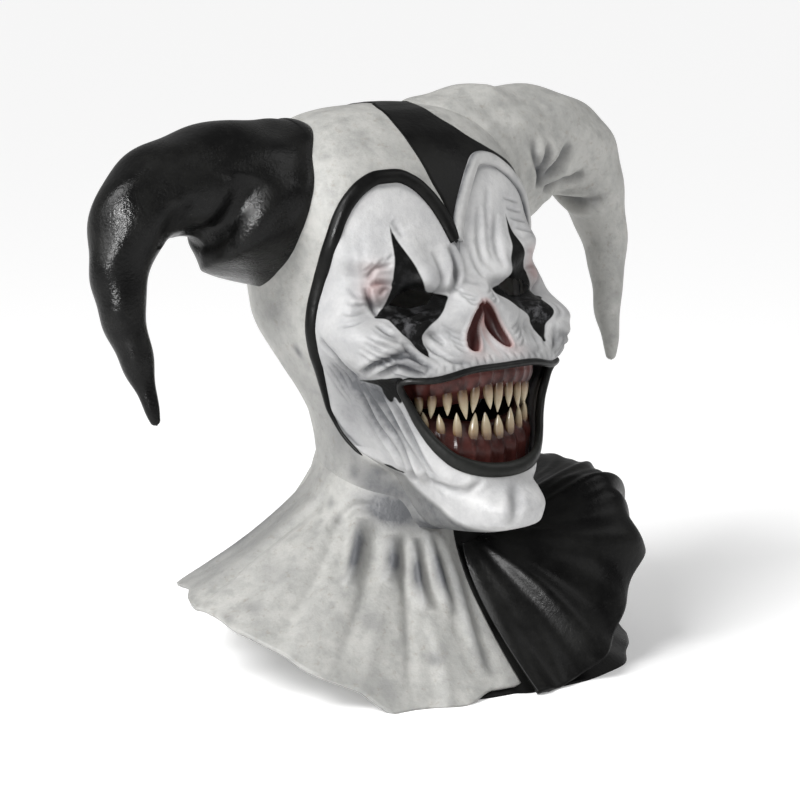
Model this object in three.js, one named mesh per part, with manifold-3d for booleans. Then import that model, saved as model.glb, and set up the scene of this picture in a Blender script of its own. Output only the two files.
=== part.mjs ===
// Jester mask: a hollow pulled-over mask with a hood, two curved horns, a grinning face and a pleated bib.
// Millimetres. X is the wearer's left, the face looks along -Y, and Z is up from the surface it stands on.
import * as THREE from "three";
import { mergeVertices } from "three/addons/utils/BufferGeometryUtils.js";
import Module from "manifold-3d";

// Driving dimensions
const WALL = 3;
const HORN_WALL = 5;
const GAP = 0.3;
const SKIRT_Z = 96;
const SEAM_Z = 132;
const SEAM_SLOPE = 0.3;
const SEAM_LAP = 6;
const NECK_Z = 110;
const GROUND_Z = 9;
const BACK_SQUARE = 2.2;
const MUZZLE_POWER = 3;
const PIPING_RADIUS = 5;
const LIP_RADIUS = 4;
const TOOTH_RADIUS = 3.7;
const TOOTH_SIDES = 6;
const TOOTH_ROOT = 0.9;
const TOOTH_BELLY = { wide: 0.75, at: 0.45 };
const TOOTH_TAPER = { length: 0.5, radius: 0.2 };
const BIB_GRID = { round: 30, down: 4 };
const BIB_FOLDS = { deep: 4, often: 18, second: 11, shift: 40 };
const RUFF_GRID = { round: 28, down: 4 };
const RUFF_FOLDS = { deep: 7, often: 20, power: 1.3, from: 6, full: 40, out: 0.4 };
const PIPING_SIDES = 5;
const PIPING_STATIONS = 19;
const PIPING_END = 62;
const PIPING_STEP = { over: 7, under: 8 };
const PIPING_THIN = { from: 0.62, by: 0.7 };
const LIP_SIDES = 5;
const LIP_STATIONS = 28;
const LIP_DEEP = 1.3;
const LIP_GAP = 1.2;
const LIP_SEARCH = { rounds: 40, share: 0.6 };
const MOUTH_MIDDLE_Z = 200;
const GUM_REACH = 80;
const GUM_STATIONS = 12;
const GUM_SIDES = 6;
const GUM_INSET = 4;
const HORN_SOLID = { stations: 11, sides: 12 };
const HORN_HOLLOW = { stations: 7, sides: 8 };
const WEDGE_FLOOR = 300;
const FAN_BACK = 25;
const MM_PER_DEGREE = 1.6;
const FACE_DEPTH = 170;
const FAR = 400;

// Level sections of the head, from the neck up. centre is how far forward the section's middle lies, half is the
// half width, front and back reach from the middle, square rounds (2) or boxes (4) the front half, and muzzle is
// how far the mouth and chin stand out in front of that, over spread degrees to each side.
const HEAD = [
  { z: 96, centre: -6, half: 66, front: 58, back: 64, square: 2, muzzle: 0, spread: 26 },
  { z: 110, centre: -6, half: 60, front: 57, back: 56, square: 2, muzzle: 2, spread: 26 },
  { z: 115, centre: -6, half: 59, front: 57, back: 54, square: 2, muzzle: 34, spread: 20 },
  { z: 120, centre: -6, half: 59, front: 57, back: 54, square: 2, muzzle: 66, spread: 20 },
  { z: 128, centre: -6, half: 59, front: 57, back: 53, square: 2, muzzle: 84, spread: 20.5 },
  { z: 137, centre: -6, half: 59, front: 57, back: 53, square: 2, muzzle: 86, spread: 22 },
  { z: 151, centre: -6, half: 59, front: 58, back: 53, square: 2, muzzle: 71, spread: 28 },
  { z: 160, centre: -6, half: 60, front: 59, back: 53, square: 2, muzzle: 64, spread: 36 },
  { z: 185, centre: -8, half: 64, front: 66, back: 55, square: 2, muzzle: 56, spread: 43 },
  { z: 200, centre: -10, half: 70, front: 72, back: 60, square: 2.1, muzzle: 51, spread: 45 },
  { z: 215, centre: -13, half: 77, front: 80, back: 70, square: 2.3, muzzle: 45, spread: 47 },
  { z: 228, centre: -15, half: 83, front: 88, back: 80, square: 2.6, muzzle: 38, spread: 47 },
  { z: 237, centre: -17, half: 87, front: 95, back: 86, square: 2.9, muzzle: 31, spread: 45 },
  { z: 246, centre: -19, half: 90, front: 101, back: 92, square: 3.2, muzzle: 18, spread: 38 },
  { z: 256, centre: -21, half: 92, front: 105, back: 95, square: 3.5, muzzle: 11, spread: 20 },
  { z: 272, centre: -23, half: 93, front: 107, back: 97, square: 3.5, muzzle: 9, spread: 16 },
  { z: 284, centre: -24, half: 94, front: 99, back: 99, square: 3.3, muzzle: 5, spread: 14 },
  { z: 294, centre: -25, half: 95, front: 92, back: 100, square: 3.1, muzzle: 0, spread: 14 },
  { z: 323, centre: -25, half: 97, front: 80, back: 100, square: 3.1, muzzle: 0, spread: 14 },
  { z: 338, centre: -25, half: 97, front: 75, back: 98, square: 3.1, muzzle: 0, spread: 14 },
  { z: 353, centre: -25, half: 94, front: 69, back: 93, square: 3, muzzle: 0, spread: 14 },
  { z: 368, centre: -25, half: 88, front: 61, back: 84, square: 2.8, muzzle: 0, spread: 14 },
  { z: 382, centre: -25, half: 78, front: 49, back: 70, square: 2.5, muzzle: 0, spread: 14 },
  { z: 392, centre: -25, half: 65, front: 34, back: 55, square: 2.3, muzzle: 0, spread: 14 },
  { z: 397.5, centre: -25, half: 48, front: 23, back: 39, square: 2.2, muzzle: 0, spread: 14 },
  { z: 400.5, centre: -25, half: 24, front: 11, back: 20, square: 2.2, muzzle: 0, spread: 14 },
];

// Swells and hollows of the face, the same on both sides: where (degrees from the front, height), how far they
// spread (degrees, mm) and how much they stand out.
const FORMS = [
  { form: "cheek", angle: 43, z: 252, spread: 16, tall: 20, rise: 19 },
  { form: "brow knuckle", angle: 20, z: 291, spread: 6.5, tall: 8, rise: 7 },
  { form: "brow", angle: 31, z: 303, spread: 8, tall: 9, rise: 6 },
  { form: "brow end", angle: 45, z: 307, spread: 9, tall: 11, rise: 7 },
  { form: "eye inner corner", angle: 13, z: 279, spread: 5, tall: 7, rise: -10 },
  { form: "eye socket", angle: 26, z: 277, spread: 9, tall: 10, rise: -19 },
  { form: "eye corner", angle: 40, z: 271, spread: 7, tall: 8, rise: -16 },
  { form: "tear hollow", angle: 24, z: 250, spread: 7, tall: 9, rise: -9 },
  { form: "temple", angle: 66, z: 290, spread: 12, tall: 20, rise: -4 },
  { form: "nose hollow", angle: 0, z: 257, spread: 6, tall: 14, rise: -8 },
  { form: "smile crease", angle: 56, z: 226, spread: 9, tall: 9, rise: -6 },
  { form: "lip fold", angle: 0, z: 151, spread: 26, tall: 5, rise: -2.5 },
];

// The edge between hood and face, on both sides: the widow's peak at the middle, round lobes over the brows,
// down in front of the ears and under the chin. low and high are heights at each angle from the front.
const FACE_EDGE = [
  { angle: 0, low: 111, high: 312 },
  { angle: 5, low: 111, high: 329 },
  { angle: 12, low: 112, high: 343 },
  { angle: 21, low: 116, high: 353.5 },
  { angle: 31, low: 131, high: 358.5 },
  { angle: 40, low: 149, high: 358 },
  { angle: 46, low: 154, high: 353.5 },
  { angle: 51, low: 157, high: 344 },
  { angle: 54.5, low: 159, high: 331 },
  { angle: 57, low: 160.5, high: 316 },
  { angle: 60, low: 162, high: 301.5 },
  { angle: 63.5, low: 164, high: 286 },
  { angle: 66, low: 166, high: 272 },
  { angle: 68, low: 168, high: 255 },
  { angle: 71, low: 171, high: 238 },
  { angle: 75, low: 176, high: 217 },
  { angle: 79, low: 184, high: 203 },
  { angle: 81, low: 191, high: 196 },
];

// The black crown wedge seen from above: the half that runs down to the peak, and the half that follows the
// other lobe. x and forward are from the middle of the head.
const WEDGE_EDGE = [
  { x: 0, forward: -112 },
  { x: 28, forward: -75 },
  { x: 28, forward: -42 },
  { x: 23, forward: -16 },
  { x: 24, forward: 2 },
  { x: 30, forward: 13 },
  { x: 38, forward: 25 },
  { x: 50, forward: 33 },
  { x: 62, forward: 37 },
  { x: 78, forward: 36 },
  { x: 92, forward: 31 },
  { x: 60, forward: 90 },
  { x: 0, forward: 90 },
  { x: 0, forward: 66 },
  { x: -3, forward: 52 },
  { x: -11, forward: 43 },
  { x: -17, forward: 28 },
  { x: -17, forward: 8 },
  { x: -13, forward: -16 },
  { x: -2, forward: -42 },
  { x: -1, forward: -75 },
];

// Stations along each horn: the middle of the tube, its radius and how flat it is front to back. The white horn
// stands higher at its root than the black one.
const HORN_BLACK = [
  { x: 48, back: 32, z: 328, radius: 58, flat: 0.78 },
  { x: 90, back: 34, z: 333, radius: 61, flat: 0.78 },
  { x: 114, back: 35, z: 341, radius: 53, flat: 0.8 },
  { x: 136, back: 37, z: 351, radius: 41, flat: 0.9 },
  { x: 164, back: 39, z: 353, radius: 34, flat: 0.95 },
  { x: 194, back: 38, z: 343, radius: 31, flat: 0.95 },
  { x: 213, back: 34, z: 312, radius: 23, flat: 0.95 },
  { x: 216, back: 28, z: 277, radius: 16.5, flat: 0.95 },
  { x: 211, back: 18, z: 238, radius: 10.5, flat: 0.95 },
  { x: 205, back: 7, z: 202, radius: 4, flat: 0.95 },
];
const HORN_WHITE = [
  { x: 48, back: 32, z: 342, radius: 58, flat: 0.78 },
  { x: 90, back: 34, z: 352, radius: 61, flat: 0.78 },
  { x: 114, back: 35, z: 356, radius: 55, flat: 0.8 },
  { x: 136, back: 37, z: 363, radius: 45, flat: 0.9 },
  { x: 164, back: 39, z: 364, radius: 39, flat: 0.95 },
  { x: 194, back: 38, z: 350, radius: 34, flat: 0.95 },
  { x: 213, back: 34, z: 315, radius: 23, flat: 0.95 },
  { x: 217, back: 28, z: 277, radius: 16, flat: 0.95 },
  { x: 211, back: 18, z: 238, radius: 10.5, flat: 0.95 },
  { x: 205, back: 7, z: 202, radius: 4, flat: 0.95 },
];

// The bib's profile from the neck seam to the hem at angles from the front: a bend under the neck, then the hem.
const BIB_WHITE = [
  { angle: 0, bend: 66, bend_z: 66, hem: 146, hem_z: 3 },
  { angle: 34, bend: 72, bend_z: 70, hem: 153, hem_z: 4 },
  { angle: 50, bend: 74, bend_z: 80, hem: 158, hem_z: 25 },
  { angle: 65, bend: 76, bend_z: 92, hem: 163, hem_z: 43 },
  { angle: 85, bend: 77, bend_z: 104, hem: 166, hem_z: 60 },
  { angle: 110, bend: 79, bend_z: 112, hem: 163, hem_z: 68 },
  { angle: 135, bend: 80, bend_z: 100, hem: 156, hem_z: 52 },
  { angle: 152, bend: 80, bend_z: 88, hem: 148, hem_z: 24 },
  { angle: 164, bend: 80, bend_z: 82, hem: 143, hem_z: 3 },
  { angle: 180, bend: 80, bend_z: 80, hem: 141, hem_z: 3 },
];
const BIB_BLACK = [
  { angle: 0, bend: 66, bend_z: 66, hem: 146, hem_z: 3 },
  { angle: 20, bend: 70, bend_z: 62, hem: 158, hem_z: 3 },
  { angle: 40, bend: 74, bend_z: 60, hem: 171, hem_z: 3 },
  { angle: 58, bend: 76, bend_z: 62, hem: 172, hem_z: 4 },
  { angle: 85, bend: 78, bend_z: 84, hem: 168, hem_z: 30 },
  { angle: 110, bend: 79, bend_z: 100, hem: 163, hem_z: 60 },
  { angle: 135, bend: 80, bend_z: 100, hem: 156, hem_z: 52 },
  { angle: 152, bend: 80, bend_z: 88, hem: 148, hem_z: 24 },
  { angle: 164, bend: 80, bend_z: 82, hem: 143, hem_z: 3 },
  { angle: 180, bend: 80, bend_z: 80, hem: 141, hem_z: 3 },
];

// The fan ruffle over the black half: where it leaves the neck, its crest and its free edge.
const RUFF = [
  { angle: 3, root: 68, root_z: 101, crest: 92, crest_z: 62, edge: 150, edge_z: 15 },
  { angle: 20, root: 70, root_z: 106, crest: 116, crest_z: 96, edge: 156, edge_z: 20 },
  { angle: 36, root: 71, root_z: 114, crest: 142, crest_z: 130, edge: 167, edge_z: 50 },
  { angle: 52, root: 72, root_z: 119, crest: 163, crest_z: 174, edge: 172, edge_z: 88 },
  { angle: 72, root: 73, root_z: 123, crest: 160, crest_z: 166, edge: 171, edge_z: 96 },
  { angle: 92, root: 75, root_z: 129, crest: 150, crest_z: 158, edge: 165, edge_z: 99 },
  { angle: 112, root: 77, root_z: 134, crest: 134, crest_z: 148, edge: 152, edge_z: 96 },
  { angle: 132, root: 79, root_z: 139, crest: 104, crest_z: 130, edge: 122, edge_z: 94 },
];

// Half of the mouth's outline from the front, clockwise from the middle of the upper lip.
const MOUTH = [
  { x: 0, z: 236 },
  { x: 34, z: 235 },
  { x: 54, z: 227 },
  { x: 65, z: 222 },
  { x: 57, z: 197 },
  { x: 48, z: 179 },
  { x: 33, z: 165 },
  { x: 16, z: 159 },
  { x: 0, z: 158 },
];

// The outline of the eye slit on the wearer's left, from the front.
const EYE = [
  { x: 29, z: 281 },
  { x: 40, z: 284 },
  { x: 55, z: 280 },
  { x: 62, z: 275 },
  { x: 48, z: 272 },
  { x: 36, z: 274 },
];

// The dental arch, seen from above, and the two gums on it, with the number, reach along the arch (degrees to
// each side) and greatest length of their teeth.
const ARCH = { half: 55, middle: 49, depth: 53, square: 2.4 };
const GUMS = {
  upper: { top: 232, foot: 219, ends: -5, thick: 4.5, teeth: 14, reach: 66, longest: 19 },
  lower: { top: 183, foot: 166, ends: 14, thick: 4.5, teeth: 12, reach: 60, longest: 15 },
};

// Colours, as painted on the latex
const WHITE = new THREE.MeshStandardMaterial({ color: 0xd6d6d2, roughness: 0.6, metalness: 0 });
const BLACK = new THREE.MeshStandardMaterial({ color: 0x1c1c1b, roughness: 0.42, metalness: 0 });
const GUM_RED = new THREE.MeshStandardMaterial({ color: 0x5a1a16, roughness: 0.3, metalness: 0 });
const IVORY = new THREE.MeshStandardMaterial({ color: 0xcdb98c, roughness: 0.3, metalness: 0 });

const wasm = await Module();
wasm.setup();
const radians = THREE.MathUtils.degToRad;

// A smooth curve through one column of a table, against another, that never overshoots its rows.
function through(rows, key, column) {
  const at = rows.map((row) => row[key]);
  const value = rows.map((row) => row[column]);
  const slope = at.slice(1).map((next, i) => (value[i + 1] - value[i]) / (next - at[i]));
  const tangent = at.map((_, i) => {
    const before = slope[Math.max(i - 1, 0)];
    const after = slope[Math.min(i, slope.length - 1)];
    return before * after <= 0 ? 0 : (2 * before * after) / (before + after);
  });
  return (place) => {
    let i = 0;
    while (i < at.length - 2 && place > at[i + 1]) i += 1;
    const span = at[i + 1] - at[i];
    const t = THREE.MathUtils.clamp((place - at[i]) / span, 0, 1);
    const rise = value[i + 1] - value[i];
    const start = tangent[i] * span;
    const end = tangent[i + 1] * span;
    return value[i] + t * (start + t * (3 * rise - 2 * start - end + t * (start + end - 2 * rise)));
  };
}

// All the named columns of a table as curves against its first one.
function curves(rows) {
  const [key, ...columns] = Object.keys(rows[0]);
  return Object.fromEntries(columns.map((column) => [column, through(rows, key, column)]));
}

// A solid from a closed geometry, turned outwards.
function solid(geometry) {
  const bare = geometry.clone();
  bare.deleteAttribute("normal");
  bare.deleteAttribute("uv");
  const merged = mergeVertices(bare, 1e-4);
  const make = (triVerts) => {
    const vertProperties = new Float32Array(merged.attributes.position.array);
    return new wasm.Manifold(new wasm.Mesh({ numProp: 3, vertProperties, triVerts }));
  };
  const order = new Uint32Array(merged.index.array);
  const body = make(order);
  if (body.volume() > 0) return body;
  for (let i = 0; i < order.length; i += 3) [order[i], order[i + 1]] = [order[i + 1], order[i]];
  return make(order);
}

// A drawable geometry from rows of triangles.
function geometryFrom(points, triangles) {
  const geometry = new THREE.BufferGeometry();
  geometry.setAttribute("position", new THREE.Float32BufferAttribute(points.flatMap((p) => p.toArray()), 3));
  geometry.setIndex(triangles.flat());
  return geometry;
}

// A skin over rings of equal length, closed by a fan at each end, or joined end to end as a loop.
function loft(rings, loop = false) {
  const count = rings[0].length;
  const points = rings.flat();
  const triangles = [];
  const bridges = loop ? rings.length : rings.length - 1;
  for (let r = 0; r < bridges; r += 1) {
    const next = ((r + 1) % rings.length) * count;
    for (let i = 0; i < count; i += 1) {
      const j = (i + 1) % count;
      triangles.push([r * count + i, r * count + j, next + j], [r * count + i, next + j, next + i]);
    }
  }
  const cap = (first, flip) => {
    const middle = new THREE.Vector3();
    for (let i = 0; i < count; i += 1) middle.addScaledVector(points[first + i], 1 / count);
    points.push(middle);
    for (let i = 0; i < count; i += 1) {
      const edge = [first + i, first + ((i + 1) % count)];
      triangles.push([...(flip ? edge.reverse() : edge), points.length - 1]);
    }
  };
  if (!loop) {
    cap(0, true);
    cap((rings.length - 1) * count, false);
  }
  return geometryFrom(points, triangles);
}

// A wall of even thickness on an open sheet, at(u, v) for u and v from 0 to 1.
function sheet(at, columns, rows, thickness) {
  const step = 1e-3;
  const rings = [];
  for (let c = 0; c <= columns; c += 1) {
    const outer = [];
    const inner = [];
    for (let r = 0; r <= rows; r += 1) {
      const [u, v] = [c / columns, r / rows];
      const across = at(u + step, v).sub(at(u - step, v));
      const down = at(u, v + step).sub(at(u, v - step));
      const inward = across.cross(down).normalize();
      outer.push(at(u, v));
      inner.push(at(u, v).addScaledVector(inward, thickness));
    }
    rings.push([...outer, ...inner.reverse()]);
  }
  return loft(rings);
}

// The largest of the bodies that a cut leaves, without the crumbs beside it.
function largest(body) {
  return body.decompose().reduce((best, piece) => (piece.volume() > best.volume() ? piece : best));
}

function meshOf(name, body, material) {
  const { vertProperties, triVerts, numProp } = largest(body).getMesh();
  const points = [];
  for (let i = 0; i < vertProperties.length; i += numProp) {
    points.push(new THREE.Vector3(...vertProperties.slice(i, i + 3)));
  }
  const geometry = geometryFrom(points, [Array.from(triVerts)]);
  geometry.computeVertexNormals();
  const mesh = new THREE.Mesh(geometry, material.clone());
  mesh.name = name;
  return mesh;
}

// The head's skin
const head = curves(HEAD);

function swell(angle, z) {
  return FORMS.reduce((sum, { angle: where, z: height, spread, tall, rise }) => {
    const across = (Math.abs(angle) - where) / spread;
    const up = (z - height) / tall;
    return sum + rise * Math.exp(-(across ** 2) - up ** 2);
  }, 0);
}

// The point of the head's skin at an angle from the front, in degrees, and a height.
function skin(angle, z) {
  const turn = radians(angle);
  const forward = Math.cos(turn) > 0;
  const power = forward ? head.square(z) : BACK_SQUARE;
  const deep = forward ? head.front(z) : head.back(z);
  const wide = Math.abs(Math.sin(turn)) / head.half(z);
  const long = Math.abs(Math.cos(turn)) / deep;
  const muzzle = head.muzzle(z) * Math.exp(-(Math.abs(angle / head.spread(z)) ** MUZZLE_POWER));
  const reach = (wide ** power + long ** power) ** (-1 / power) + muzzle + swell(angle, z);
  return new THREE.Vector3(reach * Math.sin(turn), -(head.centre(z) + reach * Math.cos(turn)), z);
}

function skinNormal(angle, z) {
  const step = 0.5;
  const round = skin(angle + step, z).sub(skin(angle - step, z));
  const up = skin(angle, z + step).sub(skin(angle, z - step));
  return round.cross(up).normalize();
}

// Steps through zones of different fineness: each zone's end and step.
function steps(start, zones) {
  const places = [start];
  for (const { end, step } of zones) {
    const from = places.at(-1);
    const count = Math.max(1, Math.round((end - from) / step));
    for (let i = 1; i <= count; i += 1) places.push(from + ((end - from) * i) / count);
  }
  return places;
}

const SIDE_ANGLES = steps(0, [{ end: 90, step: 9 }, { end: 180, step: 22.5 }]);
const ANGLES = [...SIDE_ANGLES.slice(1, -1).map((angle) => -angle).reverse(), ...SIDE_ANGLES];
const LEVELS = steps(SKIRT_Z, [
  { end: 110, step: 14 },
  { end: 128, step: 6 },
  { end: 240, step: 16 },
  { end: 312, step: 10.3 },
  { end: 382, step: 18 },
  { end: 400.5, step: 7 },
]);

// The whole head as a block whose skin is moved out by a distance, or in where that is negative.
function headBlock(out) {
  const rings = LEVELS.map((z) =>
    ANGLES.map((angle) => skin(angle, z).addScaledVector(skinNormal(angle, z), out)),
  );
  return solid(loft(rings));
}

const outside = headBlock(0);
const clear = headBlock(GAP);
const inside = headBlock(-WALL);

// A half space on one side of the slanted neck seam, which is lower under the chin than at the nape.
function seamBlock(above, gap) {
  const block = new THREE.BoxGeometry(FAR * 2, FAR * 2, FAR);
  const tilt = Math.atan(SEAM_SLOPE);
  block.translate(0, 0, (above ? 1 : -1) * (FAR / 2 - gap / 2));
  block.rotateX(tilt);
  block.translate(0, 0, SEAM_Z);
  return solid(block);
}

// A block that fans out from the head's middle through the face, inside the hood's edge.
const edge = curves(FACE_EDGE);
const EDGE_END = FACE_EDGE.at(-1).angle;
const EDGE_STEP = EDGE_END / 18;

function edgeAngles(step) {
  const half = steps(0, [{ end: EDGE_END, step }]);
  return [...half.slice(1).map((angle) => -angle).reverse(), ...half];
}

function faceBlock(gap) {
  const rings = edgeAngles(EDGE_STEP).map((angle) => {
    const turn = radians(angle * (1 + gap / EDGE_END / MM_PER_DEGREE));
    const side = Math.abs(angle);
    const corner = (reach, z) =>
      new THREE.Vector3(reach * Math.sin(turn), -(reach * Math.cos(turn) - FAN_BACK), z);
    const [low, high] = [edge.low(side) - gap, edge.high(side) + gap];
    return [corner(FAN_BACK, low), corner(FAR, low), corner(FAR, high), corner(FAN_BACK, high)];
  });
  return solid(loft(rings));
}

// A block with an outline drawn from the front, pushed through the face.
function frontBlock(outline) {
  const shape = new THREE.Shape(outline.map(({ x, z }) => new THREE.Vector2(x, z)));
  const block = new THREE.ExtrudeGeometry(shape, { depth: FACE_DEPTH, bevelEnabled: false });
  block.rotateX(Math.PI / 2);
  return solid(block);
}

// A half outline and its mirror image, as one closed outline.
function mirrored(half) {
  return [...half, ...half.slice(1, -1).reverse().map(({ x, z }) => ({ x: -x, z }))];
}

// The wedge's outline seen from above, moved out by a gap and drawn up through the crown.
function wedgeBlock(gap) {
  const outline = WEDGE_EDGE.map(({ x, forward }) => [x, -forward]);
  const plan = new wasm.CrossSection([outline], "NonZero").offset(gap, "Miter");
  return plan.extrude(FAR).translate(0, 0, WEDGE_FLOOR);
}

const shell = outside.subtract(inside).subtract(seamBlock(false, GAP));
const mouthCut = frontBlock(mirrored(MOUTH));
const eyeCuts = [1, -1].map((side) => frontBlock(EYE.map(({ x, z }) => ({ x: side * x, z }))));
let face = shell.intersect(faceBlock(0)).subtract(mouthCut);
for (const cut of eyeCuts) face = face.subtract(cut);
const hoodSkin = shell.subtract(faceBlock(GAP));
const hood = hoodSkin.subtract(wedgeBlock(GAP));
const wedge = hoodSkin.intersect(wedgeBlock(0));

// Horns: tapering tubes with a round tip, hollow and open where they sit on the hood.
function hornTube(table, side, inset) {
  const rows = inset > 0 ? table.slice(0, -1) : table;
  const path = new THREE.CatmullRomCurve3(rows.map(({ x, back, z }) => new THREE.Vector3(side * x, back, z)));
  const placed = rows.map((row, index) => ({ at: index / (rows.length - 1), ...row }));
  const radius = through(placed, "at", "radius");
  const flat = through(placed, "at", "flat");
  const { stations: count, sides } = inset > 0 ? HORN_HOLLOW : HORN_SOLID;
  const rings = [];
  for (let i = 0; i <= count; i += 1) {
    const t = i / count;
    const ahead = path.getTangent(t);
    const across = new THREE.Vector3(0, 1, 0).cross(ahead).normalize();
    const deep = ahead.clone().cross(across).normalize();
    const size = Math.max(radius(t) - inset, 1);
    rings.push(
      Array.from({ length: sides }, (_, k) => {
        const turn = (2 * Math.PI * k) / sides;
        return path
          .getPoint(t)
          .addScaledVector(across, size * Math.cos(turn))
          .addScaledVector(deep, size * flat(t) * Math.sin(turn));
      }),
    );
  }
  return solid(loft(rings));
}

function horn(table, side) {
  return hornTube(table, side, 0).subtract(hornTube(table, side, HORN_WALL)).subtract(clear);
}

// Everything on one side of the middle, and half a gap beyond it.
function sideBlock(side) {
  return solid(new THREE.BoxGeometry(FAR, FAR * 2, FAR * 3).translate(side * (FAR / 2 - GAP / 2), 0, 0));
}

// Piping: a round cord laid on the hood's edge, thinning out under the jaw.
function piping(side) {
  const line = [];
  for (const angle of steps(2 * GAP, [{ end: EDGE_END, step: PIPING_STEP.over }])) {
    line.push(skin(side * angle, edge.high(angle)));
  }
  for (const angle of steps(EDGE_END, [{ end: PIPING_END, step: PIPING_STEP.under }])) {
    line.push(skin(side * angle, edge.low(angle)));
  }
  const path = new THREE.CatmullRomCurve3(line, false, "centripetal");
  const rings = [];
  for (let i = 0; i <= PIPING_STATIONS; i += 1) {
    const t = i / PIPING_STATIONS;
    const ahead = path.getTangentAt(t);
    const centre = path.getPointAt(t);
    const out = new THREE.Vector3(centre.x, centre.y - FAN_BACK, 0).normalize();
    const across = ahead.clone().cross(out).normalize();
    const proud = across.clone().cross(ahead).normalize();
    const size = PIPING_RADIUS * (1 - PIPING_THIN.by * THREE.MathUtils.smoothstep(t, PIPING_THIN.from, 1));
    rings.push(
      Array.from({ length: PIPING_SIDES }, (_, k) => {
        const turn = (2 * Math.PI * k) / PIPING_SIDES;
        return centre
          .clone()
          .addScaledVector(across, size * Math.cos(turn))
          .addScaledVector(proud, size * Math.sin(turn));
      }),
    );
  }
  return solid(loft(rings)).subtract(clear).subtract(sideBlock(-side));
}

// Bib halves: pleated skirts from the neck seam to the hem, cut level where they stand.
function bibPoint(table, side, angle, t) {
  const top = skin(side * angle, NECK_Z);
  const neck = Math.hypot(top.x, top.y);
  const neckZ = SEAM_Z + SEAM_SLOPE * top.y + SEAM_LAP;
  const [bend, bendZ] = [table.bend(angle), table.bend_z(angle)];
  const [hem, hemZ] = [table.hem(angle), table.hem_z(angle)];
  const [a, b, c] = [(1 - t) ** 2, 2 * t * (1 - t), t ** 2];
  const turn = radians(angle);
  const { deep, often, second, shift } = BIB_FOLDS;
  const fold = Math.cos(often * turn) + Math.cos(second * turn + radians(shift)) / 2;
  const reach = a * neck + b * bend + c * hem + deep * fold * t * Math.sqrt(Math.max(Math.sin(turn), 0));
  return new THREE.Vector3(side * reach * Math.sin(turn), -reach * Math.cos(turn), a * neckZ + b * bendZ + c * hemZ);
}

const ground = solid(new THREE.BoxGeometry(FAR * 2, FAR * 2, FAR).translate(0, 0, GROUND_Z - FAR / 2));

function bib(rows, side) {
  const table = curves(rows);
  const at = (u, v) => bibPoint(table, side, 180 * u, v);
  const skirt = solid(sheet(at, BIB_GRID.round, BIB_GRID.down, WALL * side));
  return skirt.subtract(ground).subtract(seamBlock(true, GAP)).subtract(sideBlock(-side));
}

// Ruffle: a fan of deep pleats that stands off the black half of the bib.
const ruffRows = curves(RUFF);
const RUFF_START = RUFF[0].angle;
const RUFF_END = RUFF.at(-1).angle;

function ruffPoint(u, v) {
  const angle = THREE.MathUtils.lerp(RUFF_START, RUFF_END, u);
  const row = Object.fromEntries(Object.entries(ruffRows).map(([name, curve]) => [name, curve(angle)]));
  const [a, b, c] = [(1 - v) ** 2, 2 * v * (1 - v), v ** 2];
  const { deep, often, power, from, full, out } = RUFF_FOLDS;
  const grow = Math.max(v, 0) ** power * THREE.MathUtils.smoothstep(angle, from, full);
  const fold = deep * Math.cos(radians(angle * often)) * grow;
  const reach = a * row.root + b * row.crest + c * row.edge + out * fold;
  const z = a * row.root_z + b * row.crest_z + c * row.edge_z + fold;
  return new THREE.Vector3(reach * Math.sin(radians(angle)), -reach * Math.cos(radians(angle)), z);
}

const ruff = solid(sheet(ruffPoint, RUFF_GRID.round, RUFF_GRID.down, WALL));

// Lips: a rim round the mouth, on the skin.
function lips() {
  const outline = new THREE.CatmullRomCurve3(
    mirrored(MOUTH).map(({ x, z }) => new THREE.Vector3(x, 0, z)), true, "centripetal",
  );
  const onSkin = ({ x, z }) => {
    let angle = 0;
    for (let i = 0; i < LIP_SEARCH.rounds; i += 1) angle += LIP_SEARCH.share * (x - skin(angle, z).x);
    return skin(angle, z);
  };
  const centreOfMouth = new THREE.Vector3(0, 0, MOUTH_MIDDLE_Z);
  const rings = [];
  for (let i = 0; i < LIP_STATIONS; i += 1) {
    const flat = outline.getPointAt(i / LIP_STATIONS);
    const inward = centreOfMouth.clone().sub(flat).setY(0).normalize();
    const centre = onSkin(flat.clone().addScaledVector(inward, LIP_RADIUS + LIP_GAP));
    rings.push(
      Array.from({ length: LIP_SIDES }, (_, k) => {
        const turn = (2 * Math.PI * k) / LIP_SIDES;
        return centre
          .clone()
          .addScaledVector(inward, LIP_RADIUS * Math.cos(turn))
          .add(new THREE.Vector3(0, LIP_RADIUS * LIP_DEEP * Math.sin(turn), 0));
      }),
    );
  }
  return solid(loft(rings, true));
}

// Gums: bars along the dental arch, with the teeth on their free edges.
function archPoint(angle, inset = 0) {
  const [across, along] = [Math.sin(radians(angle)), Math.cos(radians(angle))];
  const reach = (Math.abs(across) ** ARCH.square + Math.abs(along) ** ARCH.square) ** (-1 / ARCH.square);
  const x = (ARCH.half - inset) * across * reach;
  return new THREE.Vector3(x, -(ARCH.middle + (ARCH.depth - inset) * along * reach), 0);
}

function gumBar({ top, foot, ends, thick }) {
  const rings = [];
  for (let i = 0; i <= GUM_STATIONS; i += 1) {
    const angle = GUM_REACH * ((2 * i) / GUM_STATIONS - 1);
    const lift = ends * Math.sin(radians(angle)) ** 2;
    const out = archPoint(angle).sub(archPoint(angle, 1));
    rings.push(
      Array.from({ length: GUM_SIDES }, (_, k) => {
        const turn = (2 * Math.PI * k) / GUM_SIDES;
        const point = archPoint(angle, GUM_INSET).addScaledVector(out, thick * Math.cos(turn));
        return point.setZ((top + foot) / 2 + lift + ((top - foot) / 2) * Math.sin(turn));
      }),
    );
  }
  return solid(loft(rings));
}

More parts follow.
